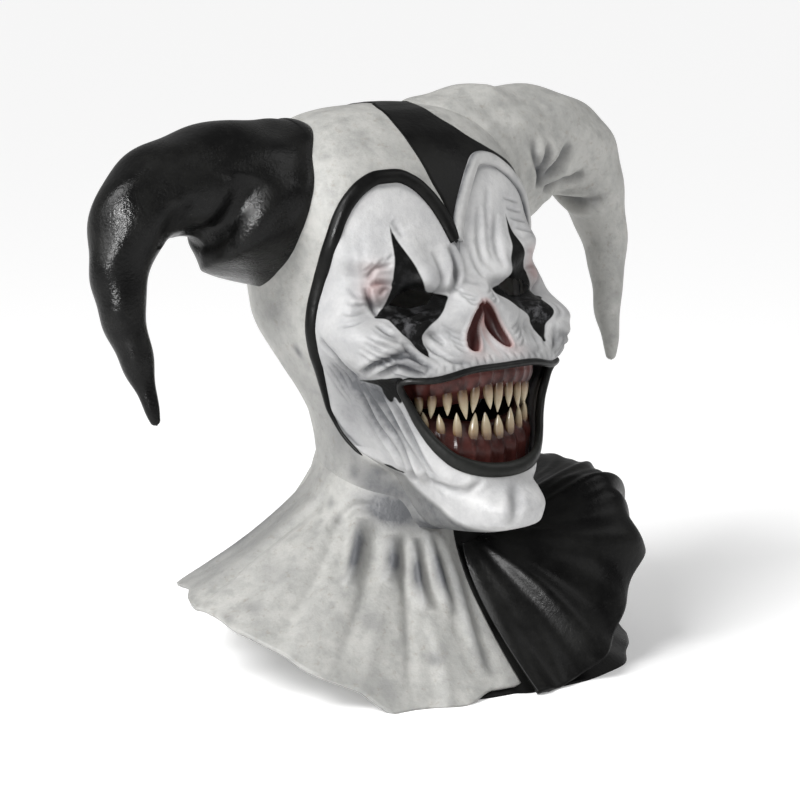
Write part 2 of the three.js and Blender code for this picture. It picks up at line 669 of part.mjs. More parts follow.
// A tooth with a flat root, a full neck and a sharp tip, pointing down from the origin.
function toothShape(length, radius) {
  const profile = [
    new THREE.Vector2(0, -length),
    new THREE.Vector2(radius * TOOTH_BELLY.wide, -length * TOOTH_BELLY.at),
    new THREE.Vector2(radius * TOOTH_ROOT, 0),
    new THREE.Vector2(0, 0),
  ];
  return new THREE.LatheGeometry(profile, TOOTH_SIDES).rotateX(Math.PI / 2);
}

// A row of teeth along the arch, longest in the middle, standing on the gum's free edge.
function teeth(gum, up) {
  return Array.from({ length: gum.teeth }, (_, i) => {
    const angle = gum.reach * ((2 * i) / (gum.teeth - 1) - 1);
    const side = Math.abs(angle) / gum.reach;
    const root = up ? gum.top + GAP : gum.foot - GAP;
    const place = archPoint(angle, GUM_INSET).setZ(root + gum.ends * Math.sin(radians(angle)) ** 2);
    const length = gum.longest * (1 - TOOTH_TAPER.length * side ** 2);
    const shape = toothShape(length, TOOTH_RADIUS * (1 - TOOTH_TAPER.radius * side));
    if (up) shape.rotateX(Math.PI);
    return solid(shape.translate(...place.toArray()));
  });
}

const upperTeeth = teeth(GUMS.upper, false);
const lowerTeeth = teeth(GUMS.lower, true);

const mask = new THREE.Group();
mask.add(meshOf("hood", hood, WHITE));
mask.add(meshOf("crown_wedge", wedge, BLACK));
mask.add(meshOf("face", face, WHITE));
mask.add(meshOf("piping_black", piping(-1), BLACK));
mask.add(meshOf("piping_white", piping(1), WHITE));
mask.add(meshOf("horn_black", horn(HORN_BLACK, -1), BLACK));
mask.add(meshOf("horn_white", horn(HORN_WHITE, 1), WHITE));
mask.add(meshOf("collar_white", bib(BIB_WHITE, -1), WHITE));
mask.add(meshOf("collar_black", bib(BIB_BLACK, 1), BLACK));
mask.add(meshOf("ruff_black", ruff, BLACK));
mask.add(meshOf("lips", lips(), BLACK));
mask.add(meshOf("gum_upper", gumBar(GUMS.upper), GUM_RED));
mask.add(meshOf("gum_lower", gumBar(GUMS.lower), GUM_RED));
const numbered = (name, i) => `${name}_${String(i + 1).padStart(2, "0")}`;
upperTeeth.forEach((tooth, i) => mask.add(meshOf(numbered("tooth_upper", i), tooth, IVORY)));
lowerTeeth.forEach((tooth, i) => mask.add(meshOf(numbered("tooth_lower", i), tooth, IVORY)));

// The mask stands on the level part of its hem, with the origin under the middle of its box.
const box = new THREE.Box3().setFromObject(mask);
const middle = box.getCenter(new THREE.Vector3());
mask.position.set(-middle.x, -middle.y, -box.min.z);

export default mask;
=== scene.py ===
import bpy
import numpy as np
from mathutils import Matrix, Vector


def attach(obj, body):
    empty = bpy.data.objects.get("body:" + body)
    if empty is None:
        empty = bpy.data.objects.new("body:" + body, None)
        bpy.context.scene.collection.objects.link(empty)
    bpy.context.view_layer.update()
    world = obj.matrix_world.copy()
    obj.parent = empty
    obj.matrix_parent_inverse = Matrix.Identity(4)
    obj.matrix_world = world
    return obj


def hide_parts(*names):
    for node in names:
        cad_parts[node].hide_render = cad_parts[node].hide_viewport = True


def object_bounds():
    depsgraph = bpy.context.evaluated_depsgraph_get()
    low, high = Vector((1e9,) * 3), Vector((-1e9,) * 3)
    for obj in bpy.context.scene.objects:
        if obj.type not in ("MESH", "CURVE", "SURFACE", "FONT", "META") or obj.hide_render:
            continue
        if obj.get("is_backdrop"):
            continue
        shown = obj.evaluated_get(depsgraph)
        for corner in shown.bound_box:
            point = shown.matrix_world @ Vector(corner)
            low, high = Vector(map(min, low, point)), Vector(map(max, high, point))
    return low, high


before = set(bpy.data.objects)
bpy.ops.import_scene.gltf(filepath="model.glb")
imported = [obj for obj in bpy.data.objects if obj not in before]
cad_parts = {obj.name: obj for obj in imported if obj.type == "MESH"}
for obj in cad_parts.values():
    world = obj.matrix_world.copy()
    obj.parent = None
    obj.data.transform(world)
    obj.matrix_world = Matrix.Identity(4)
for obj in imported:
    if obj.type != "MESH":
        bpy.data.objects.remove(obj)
cad_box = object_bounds()

# Face: cast white latex with the brow rolls, cheeks, grin folds and chin sculpted in, then airbrushed grey and
# painted shade in the hollows, creases and under the jaw, and painted black round the eyes. It is glued into the
# hood's opening along the piping.
SHIFT = np.array([-0.076, 6.389, -9.0])
BACK_SQUARE = 2.2
# Level sections of the head: z, centre, half, front, back, square, muzzle, spread
HEAD = np.array([
    (96, -6, 66, 58, 64, 2, 0, 26), (110, -6, 60, 57, 56, 2, 2, 26), (115, -6, 59, 57, 54, 2, 34, 20),
    (120, -6, 59, 57, 54, 2, 66, 20), (128, -6, 59, 57, 53, 2, 84, 20.5), (137, -6, 59, 57, 53, 2, 86, 22),
    (151, -6, 59, 58, 53, 2, 71, 28), (160, -6, 60, 59, 53, 2, 64, 36), (185, -8, 64, 66, 55, 2, 56, 43),
    (200, -10, 70, 72, 60, 2.1, 51, 45), (215, -13, 77, 80, 70, 2.3, 45, 47), (228, -15, 83, 88, 80, 2.6, 38, 47),
    (237, -17, 87, 95, 86, 2.9, 31, 45), (246, -19, 90, 101, 92, 3.2, 18, 38), (256, -21, 92, 105, 95, 3.5, 11, 20),
    (272, -23, 93, 107, 97, 3.5, 9, 16), (284, -24, 94, 99, 99, 3.3, 5, 14), (294, -25, 95, 92, 100, 3.1, 0, 14),
    (323, -25, 97, 80, 100, 3.1, 0, 14), (338, -25, 97, 75, 98, 3.1, 0, 14), (353, -25, 94, 69, 93, 3, 0, 14),
    (368, -25, 88, 61, 84, 2.8, 0, 14), (382, -25, 78, 49, 70, 2.5, 0, 14), (392, -25, 65, 34, 55, 2.3, 0, 14),
    (397.5, -25, 48, 23, 39, 2.2, 0, 14), (400.5, -25, 24, 11, 20, 2.2, 0, 14),
])
# Swells and hollows on both sides: angle, z, spread, tall, rise
FORMS = np.array([
    (43, 252, 16, 20, 19), (20, 291, 6.5, 8, 7), (31, 303, 8, 9, 6), (45, 307, 9, 11, 7), (13, 279, 5, 7, -10),
    (26, 277, 9, 10, -19), (40, 271, 7, 8, -16), (24, 250, 7, 9, -9), (66, 290, 12, 20, -4), (0, 257, 6, 14, -8),
    (56, 226, 9, 9, -6), (0, 151, 26, 5, -2.5),
])
# The edge between hood and face: angle, low, high
FACE_EDGE = np.array([
    (0, 111, 312), (5, 111, 329), (12, 112, 343), (21, 116, 353.5), (31, 131, 358.5), (40, 149, 358), (46, 154, 353.5),
    (51, 157, 344), (54.5, 159, 331), (57, 160.5, 316), (60, 162, 301.5), (63.5, 164, 286), (66, 166, 272),
    (68, 168, 255), (71, 171, 238), (75, 176, 217), (79, 184, 203), (81, 191, 196),
])
FACE_END = 81
BOTH, NEAR, OTHER = (-1, 1), (-1,), (1,)
FAR_SHARE = 0.4
WHITE_LOBE, LOBE_MIDDLE, LOBE_WIDE, LOBE_START = 7, 33, 14, 12
# Sculpted lines: depth (below zero cuts a groove), width, painted shade in it, sides, (angle, z) along it. The sides
# of a narrow groove swell by a share of its depth, at so many widths from it.
SWOLLEN, SWOLLEN_OUT, SWOLLEN_BELOW, STROKE_REACH = 0.3, 2.1, 6, 5
STROKES = [
    (-3.2, 2.8, 0.6, BOTH, [(64, 250), (61, 245), (57, 239), (55, 231), (52, 224)]),
    (-3.6, 3.2, 0.45, BOTH, [(54, 221), (51.8, 213.6), (47.7, 193.3), (39.2, 173.5), (34.4, 155)]),
    (-4.2, 3.0, 0.6, BOTH, [(49.5, 221), (46.6, 209), (42.4, 195), (36.8, 178), (32.5, 160), (28.5, 148)]),
    (-3.6, 2.8, 0.5, BOTH, [(44, 218), (41, 205), (37, 189), (32.5, 174), (28, 160), (24, 150)]),
    (-3.4, 2.4, 0.6, BOTH, [(38.8, 213), (35.9, 200.8), (32.1, 184), (27.8, 167), (23.5, 155)]),
    (-1.6, 1.6, 0.25, BOTH, [(51, 207), (49, 196), (44, 181), (39, 168)]),
    (-2.0, 2.4, 0.35, BOTH, [(25.3, 155), (22.6, 153), (19, 150), (15.2, 150), (11.6, 155), (10.2, 159)]),
    (-2.8, 3.6, 0.45, NEAR, [(-2, 151), (1.6, 146), (3.8, 140), (4.6, 134), (5.4, 127)]),
    (-1.2, 2.2, 0.3, NEAR, [(15, 308), (13.6, 301), (13.4, 294), (15, 287), (16.6, 279)]),
    (-3.4, 2.4, 0.6, NEAR, [(5, 310), (3.6, 303), (4, 295), (8.3, 286), (11, 280)]),
    (-2.6, 2.2, 0.5, OTHER, [(-11, 280), (-7.6, 284), (-3, 287), (1, 286), (6, 285)]),
    (-3.0, 2.0, 0.6, OTHER, [(6.6, 310), (6.7, 298), (7.7, 288)]),
    (-3.6, 2.2, 0.6, OTHER, [(19, 335), (12.8, 312), (12, 300), (14, 290)]),
    (-3.4, 2.2, 0.6, OTHER, [(29, 329), (23, 314), (20, 301), (18, 293)]),
    (-2.2, 2.2, 0.4, OTHER, [(29, 347), (23, 331), (20, 319)]),
    (-2.0, 2.0, 0.4, OTHER, [(36, 321), (35, 313), (38, 309), (48, 312)]),
    (-1.0, 2.2, 0.25, NEAR, [(33, 330), (31, 325), (29, 318)]),
    (-1.4, 4.5, 0.25, BOTH, [(52, 328), (49, 306), (48, 279)]),
    (-1.4, 4.0, 0.2, BOTH, [(47, 325), (44, 299), (45, 272)]),
    (-2.4, 1.7, 0.6, BOTH, [(42, 289), (38, 290), (33, 289)]),
    (-2.8, 1.8, 0.7, BOTH, [(43.5, 288), (42, 275), (40, 268)]),
    (-2.2, 1.7, 0.6, BOTH, [(43, 292), (40, 300), (34, 302)]),
    (-1.6, 1.5, 0.5, BOTH, [(39, 282), (37, 286), (34.6, 286)]),
    (-2.4, 2.0, 0.6, BOTH, [(40, 264), (37, 260), (33, 255)]),
    (-2.0, 1.7, 0.4, BOTH, [(23, 257), (20, 252), (18, 249)]),
    (-2.0, 1.8, 0.4, BOTH, [(25, 251), (22, 245), (19, 242)]),
    (-3.6, 2.3, 0.85, BOTH, [(48, 229), (42, 238), (38, 242), (33, 247), (30, 248)]),
    (-3.6, 2.3, 0.85, BOTH, [(42, 229), (37, 236), (34, 238), (31, 235), (27, 231)]),
    (-3.0, 2.0, 0.75, BOTH, [(36, 242), (32, 244), (28, 240), (24, 235)]),
    (-2.4, 1.8, 0.6, BOTH, [(33, 252), (30, 246), (27, 240)]),
    (-1.8, 1.6, 0.45, BOTH, [(20, 242), (17, 239), (12, 238)]),
    (2.2, 1.6, 0, BOTH, [(36, 267), (31, 266), (25, 268), (19, 270)]),
    (2.0, 1.5, 0, BOTH, [(34, 263), (29, 262), (24, 264), (19, 266)]),
    (3.4, 12.0, 0, NEAR, [(29, 324), (26, 313), (23, 303), (19, 290), (17.2, 280)]),
    (2.6, 4.6, 0, NEAR, [(8.4, 312), (8.1, 301), (9.5, 290), (12.5, 279)]),
    (3.0, 3.4, 0, OTHER, [(8.6, 319), (7.4, 305), (6, 290)]),
    (3.4, 3.8, 0, OTHER, [(22, 334), (16, 312), (13, 295), (12, 286)]),
    (3.6, 4.4, 0, OTHER, [(32, 326), (26, 310), (21, 296), (19, 286)]),
]
# Fine wrinkles in sets: first line (angle, z to angle, z), last line, how many, depth, sides
# Width of a fine wrinkle, painted shade in it for each millimetre of its depth, and the bend of its middle
WRINKLE_WIDE, WRINKLE_GREY, WRINKLE_BEND = 1.1, 0.3, (0.4, -0.8)
WRINKLES = [
    ((42, 263, 30, 250), (47, 246, 36, 236), 5, 1.0, NEAR),
    ((30, 252, 22, 240), (38, 234, 28, 228), 5, 0.9, BOTH),
    ((43, 279, 51, 287), (44, 266, 53, 262), 4, 0.9, NEAR),
    ((44, 297, 40, 305), (37, 304, 33, 309), 3, 0.9, NEAR),
    ((18, 263, 10, 254), (15, 249, 10, 243), 4, 0.8, BOTH),
    ((3, 241, 3, 237), (26, 236, 26, 232), 9, 0.7, BOTH),
    ((9, 284, 3, 279), (7, 277, 2, 273), 3, 0.9, BOTH),
    ((60, 236, 54, 214), (70, 228, 62, 200), 4, 0.8, NEAR),
    ((36, 338, 47, 333), (36, 317, 47, 312), 4, 1.2, OTHER),
]
# Airbrushed grey and painted shade in the hollows of both sides: angle, z, spread, tall, amount
AIRBRUSH = np.array([
    (27, 277, 15, 16, 0.4), (40, 283, 6, 14, 0.3), (58, 300, 8, 34, 0.2), (55, 222, 10, 11, 0.5),
    (45, 205, 12, 22, 0.3), (40, 220, 7, 7, 0.5), (15, 252, 5, 12, 0.18), (0, 154, 20, 4, 0.2), (0, 300, 6, 16, 0.3),
    (70, 198, 10, 28, 0.3), (32, 240, 10, 9, 0.35), (14, 240, 9, 4, 0.25), (50, 300, 4, 22, 0.15),
    (50, 250, 16, 14, 0.2), (62, 240, 12, 22, 0.16), (44, 190, 16, 30, 0.32), (60, 195, 12, 34, 0.3),
    (43, 216, 5, 8, 0.5),
])
# Pink flush: angle, z, spread, tall, amount
FLUSH = np.array([
    (0, 257, 1.2, 14, 0.5), (7, 242, 5, 4, 0.2), (40, 287, 5, 9, 0.4), (40, 300, 5, 5, 0.2),
])
# Black paint round each eye, with the two points over and under it (angle, z)
EYE_INK = [
    (34.4, 327), (33.8, 317), (33, 307), (33.2, 299), (34.3, 287), (38, 273), (41, 267.5), (36.3, 266.2),
    (32.8, 259), (30, 253), (27.6, 247), (24.6, 242.5), (25.2, 253.5), (22.6, 260.6), (18.6, 266), (14.6, 273),
    (11.6, 278), (14.6, 279.6), (20, 283), (22.4, 291), (25.6, 300), (29, 309), (32.2, 318),
]
NOSE_HOLE = [
    (-0.6, 271), (0.9, 275), (4.2, 268.5), (6.9, 259.5), (8.8, 251), (8.8, 245), (6.2, 243.6), (3.8, 248), (1.9, 256),
    (0.4, 264),
]
NOSE_LEAN, NOSE_DEPTH, NOSE_SLOPE = 0.14, 6.5, 3.2
# Raised rim of the nose: height, distance from the hole, width, and the pink on it
NOSE_RIM, RIM_OUT, RIM_WIDE, RIM_PINK = 1.2, 1.6, 1.8, 0.45
MOUTH_PATCH = [
    (51, 222.6), (44.6, 225.2), (40.4, 227.5), (37.3, 229), (34, 228.6), (33.4, 218), (35.2, 210), (37, 214),
    (38.6, 209.5), (40.6, 215.5), (42.6, 221.6),
]
# Lower end of the white paint along the jaw: angle, z
JAW_LINE = np.array([
    (0, 121), (9, 121.5), (12, 122.5), (15.3, 125), (17.7, 128.5), (20.2, 133.6), (23.1, 137.6), (26.7, 142),
    (31, 147), (34.4, 152.5), (40, 156), (49.3, 160.3), (62, 164), (81, 192),
])
# Where the black is lightened: as a painted sheen on the lower lids, and rubbed thin at the mouth: angle, z,
# spread, tall, amount
INK_WEAR = np.array([(33, 263, 9, 6, 1.0), (25, 258, 7, 10, 0.7), (40, 222, 7, 7, 0.3)])
INK_LINE, INK_HALF = [(47, 159.4), (40.5, 157.6), (34.4, 155.6)], 2.5
# Painted shade along the piping, soft and then as a thin dark line in its corner: distance from the edge, width,
# amount. Then its lowest height, and how wide the skin sinks along the edge.
BORDER_GREY, BORDER_FROM, BORDER_SINK = [(0, 9, 0.28), (6, 1.7, 0.4)], 170, 3
# Painted shade round the lips: amount and width
LIP_GREY, LIP_GREY_WIDE = 0.35, 6
# Painted shade under the jaw line, and the height over which it comes in
JAW_GREY, JAW_FADE = 0.85, 4
# Middle of the lip, half of it from the upper middle to the lower middle (angle, z)
LIP_LINE = [
    (0, 233.2), (9.2, 233.2), (14.5, 232), (19.5, 229.4), (24.2, 227.4), (28.7, 227.2), (32, 227.2), (34.6, 225),
    (34.9, 220.5), (34.1, 216), (32.5, 209), (30.2, 198.5), (27.1, 188.6), (24, 180.6), (20.9, 174.6),
    (17.9, 170.2), (12.3, 165.8), (6, 163.4), (0, 162.6),
]
EYE_SLIT = [(29, 281), (40, 284), (55, 280), (62, 275), (48, 272), (36, 274)]
# A distance that leaves a place unpainted, and how near a line counts as near
NO_PAINT, NEARBY = 9.0, 14
UNPAINTED = {"ink": NO_PAINT, "hole": NO_PAINT}
FACE_GRID, FACE_TRIALS, FACE_CROWD = (300, 286), 600, 0.3


def placed(points):
    """Millimetres from the middle of the head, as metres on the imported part."""
    return (np.asarray(points, float) + SHIFT) * 0.001


def bell(offset, width):
    """A soft bump, 1 in its middle."""
    return np.exp(-((offset / width) ** 2))


def eased(value):
    """A soft step from 0 to 1."""
    value = np.clip(value, 0, 1)
    return value * value * (3 - 2 * value)


def travelled(line):
    """How far along a line each of its points lies."""
    return np.r_[0, np.cumsum(np.linalg.norm(np.diff(line, axis=0), axis=1))]


def curve(table, column):
    """A smooth curve through one column of a table against its first, that never overshoots its rows."""
    at, value = table[:, 0], table[:, column]
    slope = np.diff(value) / np.diff(at)
    before, after = np.r_[slope[0], slope], np.r_[slope, slope[-1]]
    safe = np.where(before * after > 0, before + after, 1)
    tangent = np.where(before * after > 0, 2 * before * after / safe, 0)

    def height(place):
        place = np.asarray(place, float)
        i = np.clip(np.searchsorted(at, place) - 1, 0, len(at) - 2)
        span = at[i + 1] - at[i]
        t = np.clip((place - at[i]) / span, 0, 1)
        rise = value[i + 1] - value[i]
        start, end = tangent[i] * span, tangent[i + 1] * span
        return value[i] + t * (start + t * (3 * rise - 2 * start - end + t * (start + end - 2 * rise)))

    return height


centre_at, half_at, front_at, back_at, square_at, muzzle_at, spread_at = (curve(HEAD, i) for i in range(1, 8))
edge_low, edge_top = curve(FACE_EDGE, 1), curve(FACE_EDGE, 2)


def edge_high(angle):
    """The face's upper edge, which rises a little higher on the white lobe."""
    taller = bell(angle - LOBE_MIDDLE, LOBE_WIDE) * np.clip(angle / LOBE_START, 0, 1)
    return edge_top(np.abs(angle)) + WHITE_LOBE * taller


def spots(table, angle, z):
    """The sum of a table of soft round spots, the same on both sides."""
    total = np.zeros(np.shape(angle))
    for where, height, wide, tall, amount in table:
        total = total + amount * bell(np.abs(angle) - where, wide) * bell(z - height, tall)
    return total


def reach_at(angle, z):
    """How far the head's skin lies from its middle at an angle from the front and a height."""
    turn = np.radians(angle)
    forward = np.cos(turn) > 0
    power = np.where(forward, square_at(z), BACK_SQUARE)
    deep = np.where(forward, front_at(z), back_at(z))
    wide, long = np.abs(np.sin(turn)) / half_at(z), np.abs(np.cos(turn)) / deep
    muzzle = muzzle_at(z) * np.exp(-np.abs(angle / spread_at(z)) ** 3)
    return (wide**power + long**power) ** (-1 / power) + muzzle + spots(FORMS, angle, z)


def skin(angle, z):
    angle, z = np.broadcast_arrays(np.asarray(angle, float), np.asarray(z, float))
    reach, turn = reach_at(angle, z), np.radians(angle)
    return np.stack([reach * np.sin(turn), -(centre_at(z) + reach * np.cos(turn)), z], -1)


def on_skin(drawn, side=1):
    """A line drawn as angles and heights, laid on the skin of one side."""
    return skin(side * drawn[:, 0], drawn[:, 1])


def even_heights(angle, low, high, count, trials):
    """Heights in even steps along the skin."""
    trial = np.linspace(low, high, trials)
    done = travelled(skin(angle, trial))
    return np.interp(np.linspace(0, done[-1], count), done, trial)


def unit(vectors):
    return vectors / np.maximum(np.linalg.norm(vectors, axis=-1, keepdims=True), 1e-9)


def normals_of(points):
    """Outward directions of a sheet of points: across its columns, then up its rows."""
    return unit(np.cross(np.gradient(points, axis=1), np.gradient(points, axis=0)))


def smooth_line(points, steps=8):
    """A rounded line through points."""
    p = np.asarray(points, float)
    p = np.vstack([2 * p[0] - p[1], p, 2 * p[-1] - p[-2]])
    t = np.linspace(0, 1, steps, endpoint=False)[:, None]
    parts = []
    for a, b, c, d in zip(p, p[1:], p[2:], p[3:]):
        parts.append(b + 0.5 * t * (c - a + t * (2 * a - 5 * b + 4 * c - d + t * (3 * b - a - 3 * c + d))))
    return np.vstack(parts + [p[-2:-1]])


def distance_to(points, line, margin=1e3):
    """Distance of points from a line, and how far along it their nearest places are, from 0 to 1, worked out only
    for points in its neighbourhood."""
    far, along, done = np.full(len(points), 1e3), np.zeros(len(points)), travelled(line)
    near = np.flatnonzero(np.all((points > line.min(0) - margin) & (points < line.max(0) + margin), axis=1))
    close = points[near]
    for start, step, passed, length in zip(line, np.diff(line, axis=0), done, np.diff(done)):
        t = np.clip((close - start) @ step / max(length**2, 1e-9), 0, 1)
        gap = np.linalg.norm(close - start - t[:, None] * step, axis=1)
        nearer = gap < far[near]
        far[near[nearer]] = gap[nearer]
        along[near[nearer]] = (passed + t[nearer] * length) / done[-1]
    return far, along


def sculpted(points, strokes):
    """How far strokes (depth, width, painted shade, line) move points, and how much painted shade they lay on them:
    grooves get swollen sides."""
    lift, shade = np.zeros((2, len(points)))
    for depth, width, grey, line in strokes:
        far, along = distance_to(points, line, STROKE_REACH * width)
        fade = np.sqrt(np.clip(np.sin(np.pi * along), 0, 1))
        mark, beside = fade * bell(far, width), fade * bell(far - SWOLLEN_OUT * width, width)
        swollen = SWOLLEN if depth < 0 and width < SWOLLEN_BELOW else 0
        lift += depth * (mark - swollen * beside)
        shade += grey * mark
    return lift, shade


def inside(outline, across, up):
    """Which places lie inside a closed outline."""
    held = np.zeros(np.shape(across), bool)
    for (x0, y0), (x1, y1) in zip(outline, np.roll(outline, -1, axis=0)):
        if y0 == y1:
            continue
        crosses = (y0 > up) != (y1 > up)
        held ^= crosses & (across < x0 + (up - y0) * (x1 - x0) / (y1 - y0))
    return held


def outline_gap(outline):
    """Distance of the face's points from an outline drawn on the skin, below zero inside it."""
    outline = smooth_line(np.vstack([outline, outline[:1]]))
    far, _ = distance_to(flat_base, on_skin(outline), NEARBY)
    return np.where(inside(outline, flat_angle, flat_z), -far, far)


def grid_piece(name, points):
    """A mesh of a sheet of points, made from a flat grid."""
    rows, columns = points.shape[0] - 1, points.shape[1] - 1
    bpy.ops.object.select_all(action="DESELECT")
    bpy.ops.mesh.primitive_grid_add(x_subdivisions=columns, y_subdivisions=rows, size=1)
    piece = bpy.context.object
    piece.name = piece.data.name = name
    piece.data.vertices.foreach_set("co", placed(points).ravel())
    piece.data.update()
    return piece


def paint(piece, **layers):
    """Numbers on the points of a mesh, for its material to read."""
    for name, values in layers.items():
        layer = piece.data.attributes.new(name, "FLOAT", "POINT")
        values = np.broadcast_to(np.ravel(values), len(piece.data.vertices))
        layer.data.foreach_set("value", values.astype(np.float32))


def edit(piece, *steps):
    """Runs edit-mode steps on the whole of a piece."""
    bpy.context.view_layer.objects.active = piece
    bpy.ops.object.mode_set(mode="EDIT")
    bpy.ops.mesh.select_mode(type="VERT")
    bpy.ops.mesh.select_all(action="SELECT")
    for step in steps:
        step()
    bpy.ops.object.mode_set(mode="OBJECT")


def cut_away(piece, gone):
    """Deletes the points of a mask."""
    edit(piece, lambda: bpy.ops.mesh.select_all(action="DESELECT"))
    piece.data.vertices.foreach_set("select", np.asarray(gone).ravel())
    bpy.ops.object.mode_set(mode="EDIT")
    bpy.ops.mesh.delete(type="VERT")
    bpy.ops.object.mode_set(mode="OBJECT")


def weld():
    bpy.ops.mesh.remove_doubles(threshold=1e-5)
    bpy.ops.mesh.normals_make_consistent(inside=False)


def settle(piece, material, slot, *nodes):
    """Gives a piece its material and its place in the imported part."""
    piece.data.materials.append(material)
    bpy.context.view_layer.objects.active = piece
    piece.select_set(True)
    bpy.ops.object.shade_smooth()
    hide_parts(*nodes)
    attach(piece, "root")


def fill(tree, made, inputs):
    """Links or sets the inputs of a node."""
    for key, value in inputs.items():
        if isinstance(value, bpy.types.NodeSocket):
            tree.links.new(value, made.inputs[key])
        else:
            made.inputs[key].default_value = value


def node(tree, kind, inputs=(), **settings):
    made = tree.nodes.new("ShaderNode" + kind)
    for key, value in settings.items():
        setattr(made, key, value)
    fill(tree, made, dict(inputs))
    return made


def fresh(name):
    """A new material, its node tree, its shader and the place on the object."""
    material = bpy.data.materials.new(name)
    material.use_nodes = True
    tree = material.node_tree
    return material, tree, tree.nodes["Principled BSDF"], node(tree, "TexCoord").outputs["Object"]


def layer(tree, name):
    return node(tree, "Attribute", attribute_name=name).outputs["Fac"]


def noise(tree, where, scale, detail=5, rough=0.55):
    inputs = {"Vector": where, "Scale": scale, "Detail": detail, "Roughness": rough}
    return node(tree, "TexNoise", inputs).outputs["Fac"]


def spread(tree, value, low, high, start=0.0, end=1.0):
    """A value taken from one range to another, held at both ends."""
    inputs = {"Value": value, "From Min": low, "From Max": high, "To Min": start, "To Max": end}
    return node(tree, "MapRange", inputs).outputs["Result"]


def math(tree, operation, a, b):
    return node(tree, "Math", {0: a, 1: b}, operation=operation).outputs[0]


def mixed(tree, amount, a, b):
    a, b = ((*colour, 1) if isinstance(colour, tuple) else colour for colour in (a, b))
    return node(tree, "Mix", {0: amount, 6: a, 7: b}, data_type="RGBA").outputs[2]


def coated(tree, colour, *coats):
    """A colour under coats of others, each with the value that guides it, its range, its amounts and its colour."""
    for value, low, high, start, end, coat in coats:
        colour = mixed(tree, spread(tree, value, low, high, start, end), colour, coat)
    return colour


def bump(tree, strength, distance, height):
    return node(tree, "Bump", {"Strength": strength, "Distance": distance, "Height": height}).outputs["Normal"]


def white_latex(name):
    """White latex: stained and mottled where bare, cleaner where painted, with blue-grey painted shade, pink and red
    paint, and black paint that is rubbed thin and lightened as a painted sheen in places.
    """
    material, tree, shader, where = fresh(name)
    broad, fine = noise(tree, where, 34, 8, 0.68), noise(tree, where, 90, 6, 0.65)
    specks, grain = noise(tree, where, 210, 4, 0.6), noise(tree, where, 900, 2)
    aged = coated(
        tree, (0.34, 0.34, 0.326), (broad, 0.34, 0.58, 0, 1, (0.455, 0.451, 0.43)),
        (fine, 0.34, 0.52, 0.4, 0, (0.22, 0.222, 0.215)), (specks, 0.58, 0.7, 0, 0.35, (0.25, 0.215, 0.17)),
    )
    clean = coated(
        tree, (0.47, 0.47, 0.475), (broad, 0.36, 0.6, 0, 1, (0.58, 0.578, 0.575)),
        (fine, 0.36, 0.5, 0.3, 0, (0.35, 0.353, 0.365)),
    )
    # Painted shade: a blue-grey laid where the shade layer says, broken up a little by noise
    grey = math(tree, "MULTIPLY", layer(tree, "shade"), spread(tree, fine, 0.3, 0.7, 0.75, 1.2))
    colour = coated(
        tree, mixed(tree, layer(tree, "painted"), aged, clean), (grey, 0, 1, 0, 1, (0.085, 0.088, 0.095)),
        (layer(tree, "flush"), 0, 1, 0, 1, (0.42, 0.2, 0.18)),
        (layer(tree, "hole"), 0.5, -0.5, 0, 1, (0.075, 0.019, 0.017)),
    )
    black = spread(tree, layer(tree, "ink"), 0.45, -0.45)
    # Black paint, lightened where rubbed thin and as a painted sheen
    rubbed = math(tree, "MULTIPLY", layer(tree, "wear"), spread(tree, fine, 0.5, 0.66))
    worn = coated(
        tree, (0.003, 0.003, 0.003), (fine, 0.52, 0.7, 0, 1, (0.016, 0.016, 0.017)),
        (rubbed, 0, 1, 0, 1, (0.1, 0.1, 0.105)),
    )
    height = math(tree, "ADD", math(tree, "MULTIPLY", fine, 1.6), math(tree, "MULTIPLY", specks, 0.6))
    height = math(tree, "ADD", height, math(tree, "MULTIPLY", grain, 0.12))
    fill(tree, shader, {
        "Base Color": mixed(tree, black, colour, worn),
        "Roughness": mixed(tree, black, spread(tree, fine, 0.3, 0.7, 0.42, 0.6), (0.42, 0.42, 0.42)),
        "Specular IOR Level": spread(tree, black, 0, 1, 0.35, 0.1),
        "Normal": bump(tree, 0.45, 0.0013, height),
    })
    return material


columns, rows = FACE_GRID
lean = np.linspace(-1, 1, columns + 1)
angles = FACE_END * ((1 - FACE_CROWD) * lean + FACE_CROWD * lean**3)
levels = [even_heights(a, edge_low(abs(a)), edge_high(a), rows + 1, FACE_TRIALS) for a in angles]
base = skin(angles, np.transpose(levels))
flat_base, flat_z = base.reshape(-1, 3), base[..., 2].ravel()
flat_angle = np.broadcast_to(angles, base.shape[:2]).ravel()
strokes = []
for depth, width, grey, sides, places in STROKES:
    for side in sides:
        share = 1 if side < 0 else FAR_SHARE
        strokes.append((share * depth, width, share * grey, on_skin(smooth_line(places), side)))
for first, last, count, depth, sides in WRINKLES:
    for share in np.linspace(0, 1, count):
        ends = (np.array(first) + share * np.subtract(last, first)).reshape(2, 2)
        drawn = smooth_line([ends[0], ends.mean(0) + WRINKLE_BEND, ends[1]])
        strokes += [(-depth, WRINKLE_WIDE, WRINKLE_GREY * depth, on_skin(drawn, side)) for side in sides]
